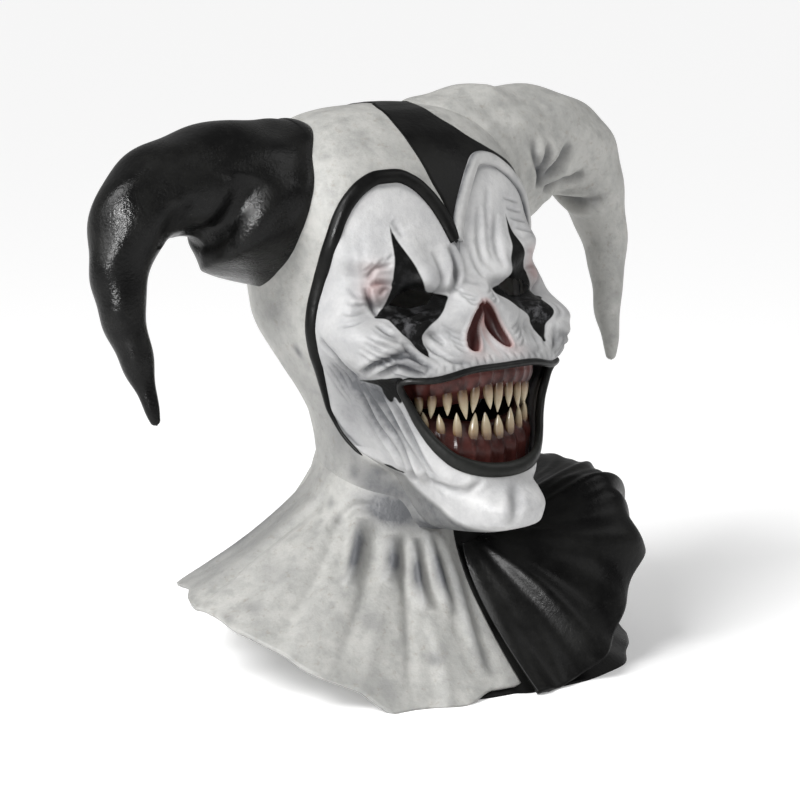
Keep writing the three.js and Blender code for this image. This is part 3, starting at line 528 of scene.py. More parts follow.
# Strokes carve the skin and lay painted shade in their grooves; airbrushed grey and painted shade go in the hollows
lift, shade = sculpted(flat_base, strokes)
shade += spots(AIRBRUSH, flat_angle, flat_z)
ink = hole = np.full(len(flat_base), NO_PAINT)
for side in BOTH:
    for outline in (EYE_INK, MOUTH_PATCH):
        ink = np.minimum(ink, outline_gap(np.array(outline) * (side, 1)))
    leaning = (side * (1 - NOSE_LEAN * side), 1)
    hole = np.minimum(hole, outline_gap(np.array(NOSE_HOLE) * leaning))
    far, along = distance_to(flat_base, on_skin(smooth_line(INK_LINE), side), NEARBY)
    ink = np.minimum(ink, far - INK_HALF * np.sin(np.pi * np.clip(along, 0.02, 0.98)))
lift -= NOSE_DEPTH * np.clip(-hole / NOSE_SLOPE, 0, 1) ** 0.7
lift += NOSE_RIM * bell(hole - RIM_OUT, RIM_WIDE) * (hole < NO_PAINT - 1)
lip_loop = smooth_line(LIP_LINE)
lip_loop = np.vstack([lip_loop, (lip_loop * (-1, 1))[-2:0:-1]])
# Painted shade round the lips
far, _ = distance_to(flat_base, on_skin(lip_loop), NEARBY)
shade += LIP_GREY * bell(far, LIP_GREY_WIDE)
border = np.minimum(flat_z - edge_low(np.abs(flat_angle)), edge_high(flat_angle) - flat_z)
# Painted shade along the piping
shade += sum(amount * bell(border - off, wide) for off, wide, amount in BORDER_GREY) * (flat_z > BORDER_FROM)
lift -= np.clip(1 - border / BORDER_SINK, 0, 1)
face_points = (flat_base + normals_of(base).reshape(-1, 3) * lift[:, None]).reshape(base.shape)
face = grid_piece("face_skin", face_points)
flush = spots(FLUSH, flat_angle, flat_z) + RIM_PINK * bell(np.maximum(hole, 0), RIM_WIDE)
jaw = np.clip((flat_z - curve(JAW_LINE, 1)(np.abs(flat_angle))) / JAW_FADE + 0.5, 0, 1)
# Painted shade under the jaw, lighter towards the sides
shade += JAW_GREY * (1 - jaw) * np.clip(1.5 - np.abs(flat_angle) / 40, 0.3, 1)
# Black lightened as a painted sheen on the lower lids and rubbed thin at the mouth
wear = spots(INK_WEAR, flat_angle, flat_z)
paint(face, shade=shade, flush=flush, ink=ink, hole=hole, wear=wear, painted=eased(jaw))
gone = inside(lip_loop, flat_angle, flat_z)
for side in BOTH:
    gone |= inside(np.array(EYE_SLIT) * (side, 1), flat_base[:, 0], flat_z) & (flat_base[:, 1] < 0)
cut_away(face, gone)
settle(face, white_latex("face_latex"), "latex_white", "face")

# Hood: one thin latex shell from the neck over the crown, bare aged off-white, slipping under the face's edge.
# The neck runs on into the collar without a visible seam.
SEAM_Z, SEAM_SLOPE, HOOD_BELOW_SEAM = 132, 0.3, 4
# Lowest height, columns and rows; how far it goes under the face's edge, how deep and over what width
HOOD_LOW, HOOD_GRID = 104, (301, 253)
HOOD_UNDER, HOOD_DIP, HOOD_DIP_WIDE = 8, 3, 4
MM_PER_DEGREE = 1.75
DOME_MIDDLE, DOME_DROP = np.array([0, 25.0, 401.6]), 1.1
DOME_RINGS, DOME_TRIALS = np.array([0.8, 0.6, 0.42, 0.26, 0.13, 0.05, 0.018, 0]), 500
# Stains and painted shade on the hood, under the jaw, round the neck and towards the back, the same on both sides:
# angle, z, spread, tall, amount
HOOD_SPOTS = np.array([
    (40, 136, 20, 16, 0.8), (14, 116, 18, 16, 0.6), (70, 150, 4, 5, 0.4), (52, 153, 6, 4, 0.45), (30, 112, 30, 9, 0.5),
    (84, 236, 2.2, 5, 0.7), (95, 262, 14, 10, 0.25), (78, 178, 9, 24, 0.45), (110, 150, 30, 20, 0.2),
    (92, 200, 16, 44, 0.3), (58, 144, 12, 12, 0.55), (67, 162, 8, 14, 0.4),
])


def dome(angles, low, rows, along):
    """The skin from a height upwards, in even steps along one angle, closed over the crown."""
    heights = even_heights(along, low, HEAD[-1, 0], rows, DOME_TRIALS)
    sides = skin(angles[None, :], heights[:, None])
    closing = DOME_MIDDLE + (sides[-1] - DOME_MIDDLE) * DOME_RINGS[:, None, None]
    closing[..., 2] = DOME_MIDDLE[2] - DOME_DROP * DOME_RINGS[:, None] ** 2
    return np.concatenate([sides, closing])


angles = np.linspace(-180, 180, HOOD_GRID[0])
hood_base = dome(angles, HOOD_LOW, HOOD_GRID[1], 90.0)
hood_angle, hood_z = np.broadcast_to(angles, hood_base.shape[:2]), hood_base[..., 2]
face_outline = [(a, edge_high(a)) for a in np.linspace(-FACE_END, FACE_END, 120)]
face_outline += [(a, edge_low(abs(a))) for a in np.linspace(FACE_END, -FACE_END, 120)]
face_outline = np.array(face_outline) * (MM_PER_DEGREE, 1)


def within(outline, across, up):
    """How far places lie inside a closed outline, below zero outside it."""
    flat = np.stack([np.ravel(across), np.ravel(up)], -1)
    far, _ = distance_to(flat, np.vstack([outline, outline[:1]]))
    return np.where(inside(outline, *flat.T), far, -far).reshape(np.shape(across))


depth = within(face_outline, hood_angle * MM_PER_DEGREE, hood_z)
dip = HOOD_DIP * eased(depth / HOOD_DIP_WIDE)
hood = grid_piece("hood_shell", hood_base - normals_of(hood_base) * dip[..., None])
# Stains and painted shade on the hood
paint(hood, shade=spots(HOOD_SPOTS, hood_angle, hood_z), **UNPAINTED)
low = hood_z < SEAM_Z + SEAM_SLOPE * hood_base[..., 1] - HOOD_BELOW_SEAM
cut_away(hood, (depth > HOOD_UNDER) | low)
edit(hood, weld)
bare_latex = white_latex("bare_latex")
settle(hood, bare_latex, "latex_white", "hood")

# Crown wedge: a black latex panel laid over the crown, from the nape to the widow's peak on one side and along the
# other brow lobe. It stands a little proud of the hood and is rubbed to a satin shine.
WEDGE_EDGE = [
    (0, 66), (-3, 52), (-11, 43), (-17, 28), (-17, 8), (-13, -16), (-2, -42), (-1, -75), (0, -112), (28, -75),
    (28, -42), (23, -16), (24, 2), (30, 13), (38, 22), (50, 26.5), (62, 27.5), (74, 26), (84, 27), (92, 31),
]
WEDGE_CLOSE = [(60, 90), (0, 90)]
WEDGE_LOW, WEDGE_GRID = 305, (421, 183)
# How far it stands proud, how deep and how wide its edge dives into the hood, and how far it laps the face
WEDGE_PROUD, WEDGE_DIVE, WEDGE_DIVE_WIDE, WEDGE_OUT, WEDGE_LAP = 0.9, 2, 4, 2.5, 2


def plain_material(name, base, coats, rough, shine, relief, broad, fine):
    """A material from its base colour, its coats, its roughness from and to, its shine, the strength and distance of
    its relief, and the scales of its two noises. A coat is guided by a noise or by a layer painted on the mesh."""
    material, tree, shader, where = fresh(name)
    guides = {"broad": noise(tree, where, broad, 5, 0.6), "fine": noise(tree, where, fine, 4, 0.6)}
    coats = [(guides[guide] if guide in guides else layer(tree, guide), *coat) for guide, *coat in coats]
    fill(tree, shader, {
        "Base Color": coated(tree, base, *coats), "Roughness": spread(tree, guides["broad"], 0.35, 0.65, *rough),
        "Specular IOR Level": shine, "Normal": bump(tree, *relief, guides["fine"]),
    })
    return material


def black_latex(name, rough, shine, pebble, fine):
    """Black latex with soft worn patches and a pebbled skin."""
    coats = [("broad", 0.4, 0.66, 0, 1, (0.009, 0.009, 0.0085)), ("fine", 0.6, 0.75, 0, 0.3, (0.02, 0.02, 0.019))]
    return plain_material(name, (0.003, 0.003, 0.003), coats, rough, shine, (pebble, 0.0015), 30, fine)


plan = np.vstack([smooth_line(WEDGE_EDGE[:9]), smooth_line(WEDGE_EDGE[8:])[1:], WEDGE_CLOSE])
angles = np.linspace(-180, 180, WEDGE_GRID[0])
wedge_base = dome(angles, WEDGE_LOW, WEDGE_GRID[1], 0.0)
wedge_angle, wedge_z = np.broadcast_to(angles, wedge_base.shape[:2]), wedge_base[..., 2]
wedge_in = np.minimum(
    within(plan, wedge_base[..., 0], -wedge_base[..., 1]),
    WEDGE_LAP - within(face_outline, wedge_angle * MM_PER_DEGREE, wedge_z),
)
rise = (WEDGE_DIVE + WEDGE_PROUD) * eased((wedge_in + WEDGE_OUT) / WEDGE_DIVE_WIDE) - WEDGE_DIVE
wedge = grid_piece("crown_panel", wedge_base + normals_of(wedge_base) * rise[..., None])
cut_away(wedge, wedge_in < -WEDGE_OUT)
edit(wedge, weld)
satin_black = black_latex("satin_black", (0.26, 0.44), 0.11, 0.2, 260)
settle(wedge, satin_black, "latex_black", "crown_wedge")

# Piping: a rolled cord of latex along the hood's edge, black on one lobe and white on the other, thinning out
# under the jaw.
PIPING_RADIUS, PIPING_FLAT, PIPING_SIDES = 5.2, 0.75, 20
PIPING_START, PIPING_END, PIPING_STEPS, PIPING_EASE = 0.4, 62, 260, 6
PIPING_THIN_FROM, PIPING_THIN_BY, PIPING_TIP = 0.62, 0.78, 0.02


def rings(path, across, proud, wide, tall, sides):
    """Points of a tube: rings across and proud of a path, with the first point of each ring repeated."""
    turn = np.linspace(0, 2 * np.pi, sides + 1)[None, :, None]
    wide, tall = (np.broadcast_to(size, len(path))[:, None, None] for size in (wide, tall))
    return path[:, None] + across[:, None] * wide * np.cos(turn) + proud[:, None] * tall * np.sin(turn)


def evenly(line, count):
    """A line cut into equal steps."""
    done = travelled(line)
    where = np.linspace(0, done[-1], count)
    return np.stack([np.interp(where, done, line[:, i]) for i in range(line.shape[1])], -1)


def relaxed(line, times):
    """A line smoothed over and over, with its ends kept."""
    for _ in range(times):
        line[1:-1] = (line[:-2] + 2 * line[1:-1] + line[2:]) / 4
    return line


for side, name, material, slot in (
    (-1, "piping_black", satin_black, "latex_black"),
    (1, "piping_white", bare_latex, "latex_white"),
):
    over = np.linspace(PIPING_START, FACE_END, 260)
    under = np.linspace(FACE_END, PIPING_END, 140)[1:]
    chart = np.r_[np.stack([over, edge_high(side * over)], -1), np.stack([under, edge_low(under)], -1)]
    path = relaxed(evenly(on_skin(chart, side), PIPING_STEPS), PIPING_EASE)
    ahead = unit(np.gradient(path, axis=0))
    across = unit(np.cross(ahead, unit((path - DOME_MIDDLE) * (1, 1, 0))))
    proud = unit(np.cross(across, ahead))
    t = np.linspace(0, 1, len(path))
    size = PIPING_RADIUS * (1 - PIPING_THIN_BY * eased((t - PIPING_THIN_FROM) / (1 - PIPING_THIN_FROM)))
    size = size * np.sqrt(np.clip((1 - t) / PIPING_TIP, 0, 1))
    tube = rings(path, across, proud, size, size * PIPING_FLAT, PIPING_SIDES)
    tube = np.concatenate([np.broadcast_to(path[:1, None], tube[:1].shape), tube])
    piece = grid_piece("trim_" + name, tube)
    # The cord's flanks painted dark grey: painted shade where it meets the skin
    flank = np.abs(np.cos(np.linspace(0, 2 * np.pi, PIPING_SIDES + 1))) ** 6 * np.ones((len(tube), 1))
    paint(piece, **UNPAINTED, painted=0.7, shade=0.04 + 0.9 * flank)
    edit(piece, weld)
    settle(piece, material, slot, name)

# Horns: hollow tapering latex tubes that grow out of the hood and curl down to a blunt tip, one glossy black over
# a pebbled skin and one stained off-white, with folds gathered where they bend.
# Stations: x, back, z, radius, flat
HORN_BLACK = np.array([
    (48, 32, 328, 58, 0.78), (90, 34, 333, 60, 0.78), (114, 35, 344, 56, 0.8), (136, 37, 354, 43.5, 0.9),
    (164, 39, 354, 34.5, 0.95), (194, 38, 343, 31, 0.95), (213, 34, 312, 23, 0.95), (216, 28, 277, 16.5, 0.95),
    (211, 18, 238, 10.5, 0.95), (205, 7, 202, 4, 0.95),
])
HORN_WHITE = np.array([
    (30, 32, 350, 48, 0.78), (90, 34, 352, 57, 0.78), (114, 35, 356, 55, 0.8), (136, 37, 363, 45, 0.9),
    (164, 39, 364, 39, 0.95), (194, 38, 350, 34, 0.95), (213, 34, 315, 23, 0.95), (217, 28, 277, 16, 0.95),
    (211, 18, 238, 10.5, 0.95), (205, 7, 202, 4, 0.95),
])
HORN_STEPS, HORN_EASE, HORN_SIDES = 260, 60, 140
# Soft waves of the skin: height, turn for each millimetre, start
HORN_WAVES = [(0.7, (0.11, 0.05, 0.07), 0), (0.6, (-0.06, 0.13, 0.15), 1)]
# Swelling round the root: height, how far off the skin, width; and how deep the horn goes into the hood
ROOT_SWELL, SWELL_OFF, SWELL_WIDE, ROOT_DEEP = 3.5, 2, 7, 9
# The black horn's root ends under a line on the hood: angle, z. How far above it the end starts, and over what
# height; how deep it goes; from what gap it fades out, at the back and more at the front of an angle
ROOT_ABOVE, ROOT_TALL, ROOT_SINK = 3, 17, 7
SINK_GAP, SINK_MORE, SINK_FADE, SINK_ANGLE, SINK_TURN = 52, 44, 34, 113, 18
ROOT_LINE = np.array([
    (0, 352), (62, 352), (66, 342), (70, 329), (76, 316), (82, 307), (88, 300), (94, 294), (100, 289), (110, 282),
    (120, 276), (180, 262),
])
# Folds on the horns: depth, width, painted shade in it, points along it
FOLDS_BLACK = [
    (-7, 13, 0, [(-153, 32, 318), (-151, 20, 320), (-147, 13, 323), (-142, 3, 333), (-136, -1, 346), (-131, -1, 360)]),
    (2.5, 7, 0, [(-150, 2, 362), (-152, 4, 348), (-155, 9, 335), (-157, 20, 324)]),
    (3, 12, 0, [(-104, -7, 360), (-116, -7, 343), (-127, -4, 327), (-136, 8, 312)]),
    (4.5, 12, 0, [(-134, 46, 292), (-137, 28, 297), (-134, 10, 302), (-122, 2, 306)]),
    (6.5, 15, 0, [(-96, 68, 286), (-111, 53, 287), (-122, 37, 290), (-130, 20, 296)]),
    (-2.5, 9, 0, [(-190, 20, 316), (-186, 12, 328), (-180, 8, 345)]),
    (-2, 7, 0, [(-176, 12, 321), (-172, 7, 334), (-168, 6, 350)]),
]
FOLDS_WHITE = [
    (-4.5, 3.2, 0.7, [(114, -8, 372), (115, -9, 356), (120, -7, 343), (124, -4, 335)]),
    (-6, 3.6, 0.85, [(132, -5, 368), (123, -8, 353), (120, -7, 343), (121, -6, 336)]),
    (-8, 4.5, 0.95, [(158, 0, 365), (146, -3, 356), (136, -4, 350), (121, -7, 340)]),
    (-8, 4.5, 0.9, [(177, 10, 341), (164, 12, 334), (145, 3, 335), (127, -3, 334)]),
    (-7, 4.5, 0.75, [(199, 14, 321), (186, 28, 318), (181, 38, 320), (178, 50, 322)]),
]


def about_middle(points):
    """Angle from the front and distance from the head's middle line, and the way from it."""
    off = points * (1, 1, 0)
    off[..., 1] += centre_at(points[..., 2])
    return np.degrees(np.arctan2(off[..., 0], -off[..., 1])), np.hypot(off[..., 0], off[..., 1]), off


def sunk(points):
    """Draws what lies under the root line into the hood, so that the horn's root ends there."""
    angle, far, off = about_middle(points)
    gap = far - reach_at(angle, np.minimum(points[:, 2], HEAD[-1, 0]))
    share = eased((curve(ROOT_LINE, 1)(np.abs(angle)) + ROOT_ABOVE - points[:, 2]) / ROOT_TALL)
    fade_from = SINK_GAP + SINK_MORE * np.clip((SINK_ANGLE - np.abs(angle)) / SINK_TURN, 0, 1)
    share = share * np.clip((fade_from - gap) / SINK_FADE, 0, 1)
    return points - off * (share * np.maximum(gap + ROOT_SINK, 0) / far)[:, None]


def above_skin(points):
    """How far points stand off the head's skin, below zero inside it."""
    angle, far, _ = about_middle(points)
    z = np.minimum(points[:, 2], HEAD[-1, 0] - 0.5)
    reach = reach_at(angle, z)
    slope = reach - reach_at(angle, z + 0.5)
    return np.maximum((far - reach) / np.hypot(1, 2 * slope), points[:, 2] - HEAD[-1, 0])


gloss_black = black_latex("gloss_black", (0.16, 0.34), 0.17, 0.3, 420)
for side, name, stations, folds, material, slot in (
    (-1, "horn_black", HORN_BLACK, FOLDS_BLACK, gloss_black, "latex_black"),
    (1, "horn_white", HORN_WHITE, FOLDS_WHITE, bare_latex, "latex_white"),
):
    line = relaxed(evenly(smooth_line(stations * (side, 1, 1, 1, 1), 28), HORN_STEPS), HORN_EASE)
    path, radius, flat = line[:, :3], line[:, 3], line[:, 4]
    ahead = unit(np.gradient(path, axis=0))
    across = unit(np.cross(np.array([0, 1.0, 0]), ahead))
    deep = unit(np.cross(ahead, across))
    bend = np.radians(np.arange(10, 91, 10))
    path = np.r_[path, path[-1] + np.outer(radius[-1] * np.sin(bend), ahead[-1])]
    radius = np.r_[radius, np.maximum(radius[-1] * np.cos(bend), 0)]
    across, deep, flat = (np.r_[rows, np.repeat(rows[-1:], len(bend), 0)] for rows in (across, deep, flat))
    tube = rings(path, across, deep, radius, radius * flat, HORN_SIDES)
    out = normals_of(tube)
    out *= np.sign(((tube - path[:, None]) * out).sum(-1).mean())
    spot = tube.reshape(-1, 3)
    lift, grey = sculpted(spot, [(*stroke, smooth_line(places)) for *stroke, places in folds])
    lift += sum(height * np.sin(spot @ turn + start) for height, turn, start in HORN_WAVES)
    proud = above_skin(spot)
    lift += ROOT_SWELL * bell(proud - SWELL_OFF, SWELL_WIDE)
    spot = spot + out.reshape(-1, 3) * lift[:, None]
    piece = grid_piece("tube_" + name, (sunk(spot) if side < 0 else spot).reshape(tube.shape))
    # Painted shade in the folds
    paint(piece, shade=grey, **UNPAINTED)
    cut_away(piece, proud < -ROOT_DEEP)
    edit(piece, weld)
    settle(piece, material, slot, name)

# Collar: the bib of the mask, cast with the neck. The wearer's right half is stained white with radial folds down
# to the hem, the left half is black under its own ruffle.
NECK_Z, NECK_IN, GROUND_Z, SEAM_LAP, WALL = 110, 1.5, 9, 6, 3
# The black half runs on behind the white one: angle, lift of the white hem and over what angle, and how far in
TUCK, TUCK_TALL, TUCK_TURN, TUCK_IN = 22, 6, 12, 5
BIB_GRID, BIB_RIPPLE = (260, 110), {-1: 2.6, 1: 1.5}
NECK_START, NECK_FADE, NECK_DIVE, NECK_BLEND = -0.16, 0.2, 0.8, 12
# Profile at angles from the front: angle, bend, bend z, hem, hem z
BIB_BACK = [(135, 80, 100, 156, 52), (152, 80, 88, 148, 24), (164, 80, 82, 143, 3), (180, 80, 80, 141, 3)]
BIB_WHITE = np.array([
    (0, 66, 66, 146, 3), (34, 72, 70, 153, 4), (50, 74, 80, 158, 25), (65, 76, 92, 163, 43), (85, 77, 104, 166, 60),
    (110, 79, 112, 163, 68), *BIB_BACK,
])
BIB_BLACK = np.array([
    (0, 66, 66, 146, 3), (20, 70, 62, 158, 3), (40, 74, 60, 171, 3), (58, 76, 62, 172, 4), (85, 78, 84, 168, 30),
    (110, 79, 100, 163, 60), *BIB_BACK,
])
# Folds of the white half: depth, width, painted shade in it, (angle, share of the way to the hem) along it
BIB_FOLDS = [
    (4.5, 5, 0, [(92, 0.1), (98, 0.36), (101, 0.63), (99, 0.85), (97, 1.05)]),
    (-1.6, 7, 0.1, [(87, 0.3), (84, 0.5), (80, 0.75), (78, 1.05)]),
    (2, 5, 0, [(80, 0.16), (75, 0.4), (72, 0.65), (72, 1)]),
    (-1.6, 6, 0.12, [(70, 0.5), (68, 0.7), (66, 1.05)]),
    (-5, 4.6, 0.75, [(66, 0.16), (63, 0.3), (61, 0.44), (60.5, 0.56)]),
    (2.2, 5, 0, [(54, 0.14), (53, 0.35), (54, 0.6), (55, 0.95)]),
    (-5.5, 6, 0.7, [(46, 0.18), (43.5, 0.27), (44, 0.36), (46, 0.46)]),
    (-1.8, 6, 0.12, [(46, 0.5), (47, 0.7), (49, 1.05)]),
    (2.2, 4.5, 0, [(37.5, 0.14), (37, 0.4), (36, 0.6), (36, 0.9)]),
    (-5, 4.6, 0.75, [(31.5, 0.16), (30.5, 0.28), (30, 0.4), (27, 0.54)]),
    (-1.8, 5, 0.12, [(27, 0.55), (25, 0.75), (26, 1.05)]),
    (-5, 4.2, 0.7, [(21.5, 0.12), (19, 0.27), (17.5, 0.42), (16, 0.56)]),
    (-4, 4.5, 0.5, [(13, 0.1), (10.5, 0.24), (9, 0.38), (10, 0.6), (12, 0.86)]),
    (2.5, 4, 0, [(56, 0.02), (66, 0.06), (74, 0.13), (80, 0.34)]),
    (-2.5, 4, 0.3, [(118, 0.1), (120, 0.4), (118, 0.7), (119, 1)]),
    (-3, 5, 0.3, [(138, 0.1), (140, 0.4), (139, 0.7), (141, 1)]),
    (-3, 5, 0.3, [(160, 0.1), (159, 0.4), (161, 0.7), (160, 1)]),
]
# Stains on the white half, with painted shade under the chin and on the side that turns away: angle, share of
# the way to the hem, spread, tall, amount
BIB_STAINS = np.array([
    (28, 0.76, 2.5, 0.03, 0.6), (62, 0.4, 2.5, 0.07, 0.5), (44, 0.33, 4, 0.05, 0.6), (32, 0.37, 2.5, 0.08, 0.5),
    (18, 0.35, 3, 0.08, 0.6), (50, 0.69, 4, 0.05, 0.35), (82, 0.89, 3, 0.03, 0.35), (86, 0.98, 3, 0.02, 0.4),
    (88, 0.7, 8, 0.07, 0.25), (9, 0.79, 3, 0.06, 0.3), (42, 0.92, 3, 0.05, 0.35), (113, 0.6, 12, 0.6, 0.5),
    (30, 0.0, 32, 0.13, 0.95), (2, 0.5, 3, 0.5, 0.3), (79, 0.24, 3, 0.04, 0.4), (51, 0.05, 4, 0.05, 0.4),
    (88, 0.17, 3, 0.04, 0.35), (62, 0.3, 4, 0.05, 0.3), (54, 0.04, 16, 0.13, 0.75),
])


def bent(t, start, middle, end):
    """A place on a bent line that leaves its start towards the middle and comes from there to its end."""
    return (1 - t) ** 2 * start + 2 * t * (1 - t) * middle + t**2 * end


def bib(table, side, angle, t):
    """Points of one half of the bib, from the neck seam (t 0) to the hem (t 1)."""
    neck_points = skin(side * angle, NECK_Z)
    neck = np.hypot(neck_points[..., 0], neck_points[..., 1]) - NECK_IN
    neck_z = SEAM_Z + SEAM_SLOPE * neck_points[..., 1] + SEAM_LAP
    bend, bend_z, hem, hem_z = (curve(table, i)(angle) for i in range(1, 5))
    turn = np.radians(angle)
    across, along = np.sin(turn), np.cos(turn)
    fold = np.cos(18 * turn) + np.cos(11 * turn + np.radians(40)) / 2
    reach = bent(t, neck, bend, hem)
    reach = reach + BIB_RIPPLE[side] * fold * np.maximum(t, 0) * np.sqrt(np.clip(across, 0, 1))
    z = bent(t, neck_z, bend_z, hem_z)
    deep = np.where(along > -0.1, front_at(z), back_at(z))
    square, lean = (across / half_at(z)) ** 2 + (along / deep) ** 2, -centre_at(z) * along / deep**2
    hood_reach = (np.sqrt(lean**2 - square * ((centre_at(z) / deep) ** 2 - 1)) - lean) / square - NECK_DIVE
    apart = np.clip(1 - np.abs(reach - hood_reach) / NECK_BLEND, 0, 1)
    smoothed = NECK_BLEND / 4 * apart**2 * eased((t - NECK_START) / NECK_FADE)
    reach = np.maximum(reach, hood_reach) + smoothed
    return np.stack([side * reach * across, -reach * along, z], -1)


def thickened(piece, thickness):
    """Gives a sheet its wall, inwards, and sets its lower edge flat on the floor."""
    bpy.context.view_layer.objects.active = piece
    wall = piece.modifiers.new("wall", "SOLIDIFY")
    wall.thickness = thickness * 0.001
    wall.offset = -1
    bpy.ops.object.modifier_apply(modifier=wall.name)
    places = np.empty(3 * len(piece.data.vertices))
    piece.data.vertices.foreach_get("co", places)
    places[2::3] = np.maximum(places[2::3], 0)
    piece.data.vertices.foreach_set("co", places)


columns, rows = BIB_GRID
for side, name, table, material, slot in (
    (-1, "collar_white", BIB_WHITE, bare_latex, "latex_white"),
    (1, "collar_black", BIB_BLACK, satin_black, "latex_black"),
):
    angle = np.linspace(0 if side < 0 else -TUCK, 180, columns + 1)
    trial = np.linspace(0, 1, 200)
    drop = bib(table, side, angle[None, :], trial[:, None])[..., 2]
    floor_z = GROUND_Z + TUCK_TALL * eased((TUCK - angle) / TUCK_TURN) * (side < 0)
    end = np.array([np.interp(-floor_z[i], -drop[:, i], trial) for i in range(columns + 1)])
    t = NECK_START + np.linspace(0, 1, rows + 1)[:, None] * (end - NECK_START)[None, :]
    angle = np.broadcast_to(angle, t.shape)
    points, shade = bib(table, side, angle, t), np.zeros(t.shape)
    if side < 0:
        folds = []
        for *stroke, places in BIB_FOLDS:
            drawn = smooth_line(places)
            folds.append((*stroke, bib(table, side, drawn[:, 0], drawn[:, 1])))
        # Painted shade in the folds, then stains and painted shade over the white half
        lift, grey = (sum_.reshape(t.shape) for sum_ in sculpted(points.reshape(-1, 3), folds))
        shade = grey + spots(BIB_STAINS, angle, t)
        points = points - normals_of(points) * lift[..., None]
        points[..., 2] = np.maximum(points[..., 2], floor_z)
    else:
        points[..., 1] += TUCK_IN * np.clip(-angle / 3, 0, 1)
    piece = grid_piece("bib_" + name, points[::-1])
    paint(piece, **UNPAINTED, shade=shade[::-1])
    if side < 0:
        edit(piece, bpy.ops.mesh.flip_normals)
    thickened(piece, WALL)
    settle(piece, material, slot, name)

# Ruffle: a black latex fan cast with the neck, which stands off the black half of the bib in deep pleats and has a
# scalloped free edge.
# Profile at angles from the front: angle, root, root z, crest, crest z, edge, edge z
RUFF = np.array([
    (0.6, 66.5, 101, 70, 66, 147.5, 12), (20, 70, 106, 116, 96, 156, 20), (36, 71, 114, 142, 130, 167, 50),
    (52, 72, 119, 163, 174, 172, 88), (72, 73, 123, 160, 166, 171, 96), (92, 75, 129, 150, 158, 165, 99),
    (112, 77, 134, 134, 148, 152, 96), (132, 79, 139, 104, 130, 122, 94),
])
RUFF_GRID, RUFF_START, RUFF_GROW, FAN_FROM, FAN_ROOT = (320, 90), 1, 9, 3, 0.4
# Pleats: degrees from one to the next, where one peaks, height, sharpness, and how far they lie inwards
PLEAT, PLEAT_PEAK, PLEAT_TALL, PLEAT_SHARP, PLEAT_IN = 25, 24, 4, 2.4, 4.5
columns, rows = RUFF_GRID
angle = np.broadcast_to(np.linspace(RUFF[0, 0], RUFF[-1, 0], columns + 1), (rows + 1, columns + 1))
t = np.broadcast_to(np.linspace(0, 1, rows + 1)[:, None], angle.shape)
root, root_z, crest, crest_z, rim, rim_z = (curve(RUFF, i)(angle) for i in range(1, 7))
fan = FAN_FROM + (angle - FAN_FROM) / (FAN_ROOT + (1 - FAN_ROOT) * t)
wave = 2 * np.pi * (fan - PLEAT_PEAK) / PLEAT
fold = PLEAT_TALL * np.cos(wave) + PLEAT_SHARP * np.cos(2 * wave) - PLEAT_IN
fold = fold * t**1.2 * eased((angle - RUFF_START) / RUFF_GROW) * np.clip((150 - fan) / 80, 0.35, 1)
reach, turn = bent(t, root, crest, rim), np.radians(angle)
points = np.stack([reach * np.sin(turn), -reach * np.cos(turn), bent(t, root_z, crest_z, rim_z)], -1)
points = points - normals_of(points) * fold[..., None]
ruff = grid_piece("ruffle_black", points[::-1])
thickened(ruff, WALL)
settle(ruff, satin_black, "latex_black", "ruff_black")

# Lips: a rolled rim of latex round the cut-out mouth, cast with the face, painted black, with the lower lip
# lightened to charcoal as a painted sheen, and a slight sheen of its own.
LIP_TALL, LIP_SIDES, LIP_STEPS = 3, 20, 260
# Half its width above, how much wider below, and the heights between which it widens
LIP_WIDE, LIP_WIDER, LIP_WIDE_FROM, LIP_WIDE_OVER = 2.4, 2.7, 218, 50

# Black lip paint; the charcoal on the lower lip is a painted sheen
lip_black = plain_material(
    "lip_black", (0.003, 0.003, 0.003),
    [("fine", 0.4, 0.65, 0, 1, (0.01, 0.01, 0.009)), ("below", 0, 1, 0, 0.6, (0.014, 0.015, 0.013))],
    (0.38, 0.38), 0.2, (0.35, 0.0012), 60, 160,
)
loop = evenly(np.vstack([lip_loop, lip_loop[:1]]), LIP_STEPS)
path = on_skin(loop)
aside, above = np.array([0.4, 0]), np.array([0, 0.4])
out = unit(np.cross(on_skin(loop + aside) - on_skin(loop - aside), on_skin(loop + above) - on_skin(loop - above)))
ahead = np.roll(path[:-1], -1, 0) - np.roll(path[:-1], 1, 0)
ahead = unit(np.r_[ahead, ahead[:1]])
# How far down the lip each ring lies: it widens the lower lip and lays its painted sheen
below = np.clip((LIP_WIDE_FROM - loop[:, 1]) / LIP_WIDE_OVER, 0, 1)
tube = rings(path, unit(np.cross(ahead, out)), out, LIP_WIDE + LIP_WIDER * below, LIP_TALL, LIP_SIDES)
lip = grid_piece("lip_rim", tube)
paint(lip, below=np.repeat(below[:, None], LIP_SIDES + 1, 1))
edit(lip, weld)
settle(lip, lip_black, "latex_black", "lips")

# Gums and mouth lining: two wet red-brown ridges along the dental arch with a lump over each tooth root, running
# back into a throat painted darker and darker to black, the painted shade of the mouth's inside.
ARCH_HALF, ARCH_MIDDLE, ARCH_DEPTH, ARCH_SQUARE = 55, 49, 53, 2.4
# One row for each jaw: name, teeth, reach of the teeth, longest tooth, root z, lift of the ends
JAWS = [
    ("upper", 14, 70, 21.2, 220.5, -10),
    ("lower", 12, 66, 18.3, 180.5, 13),
]
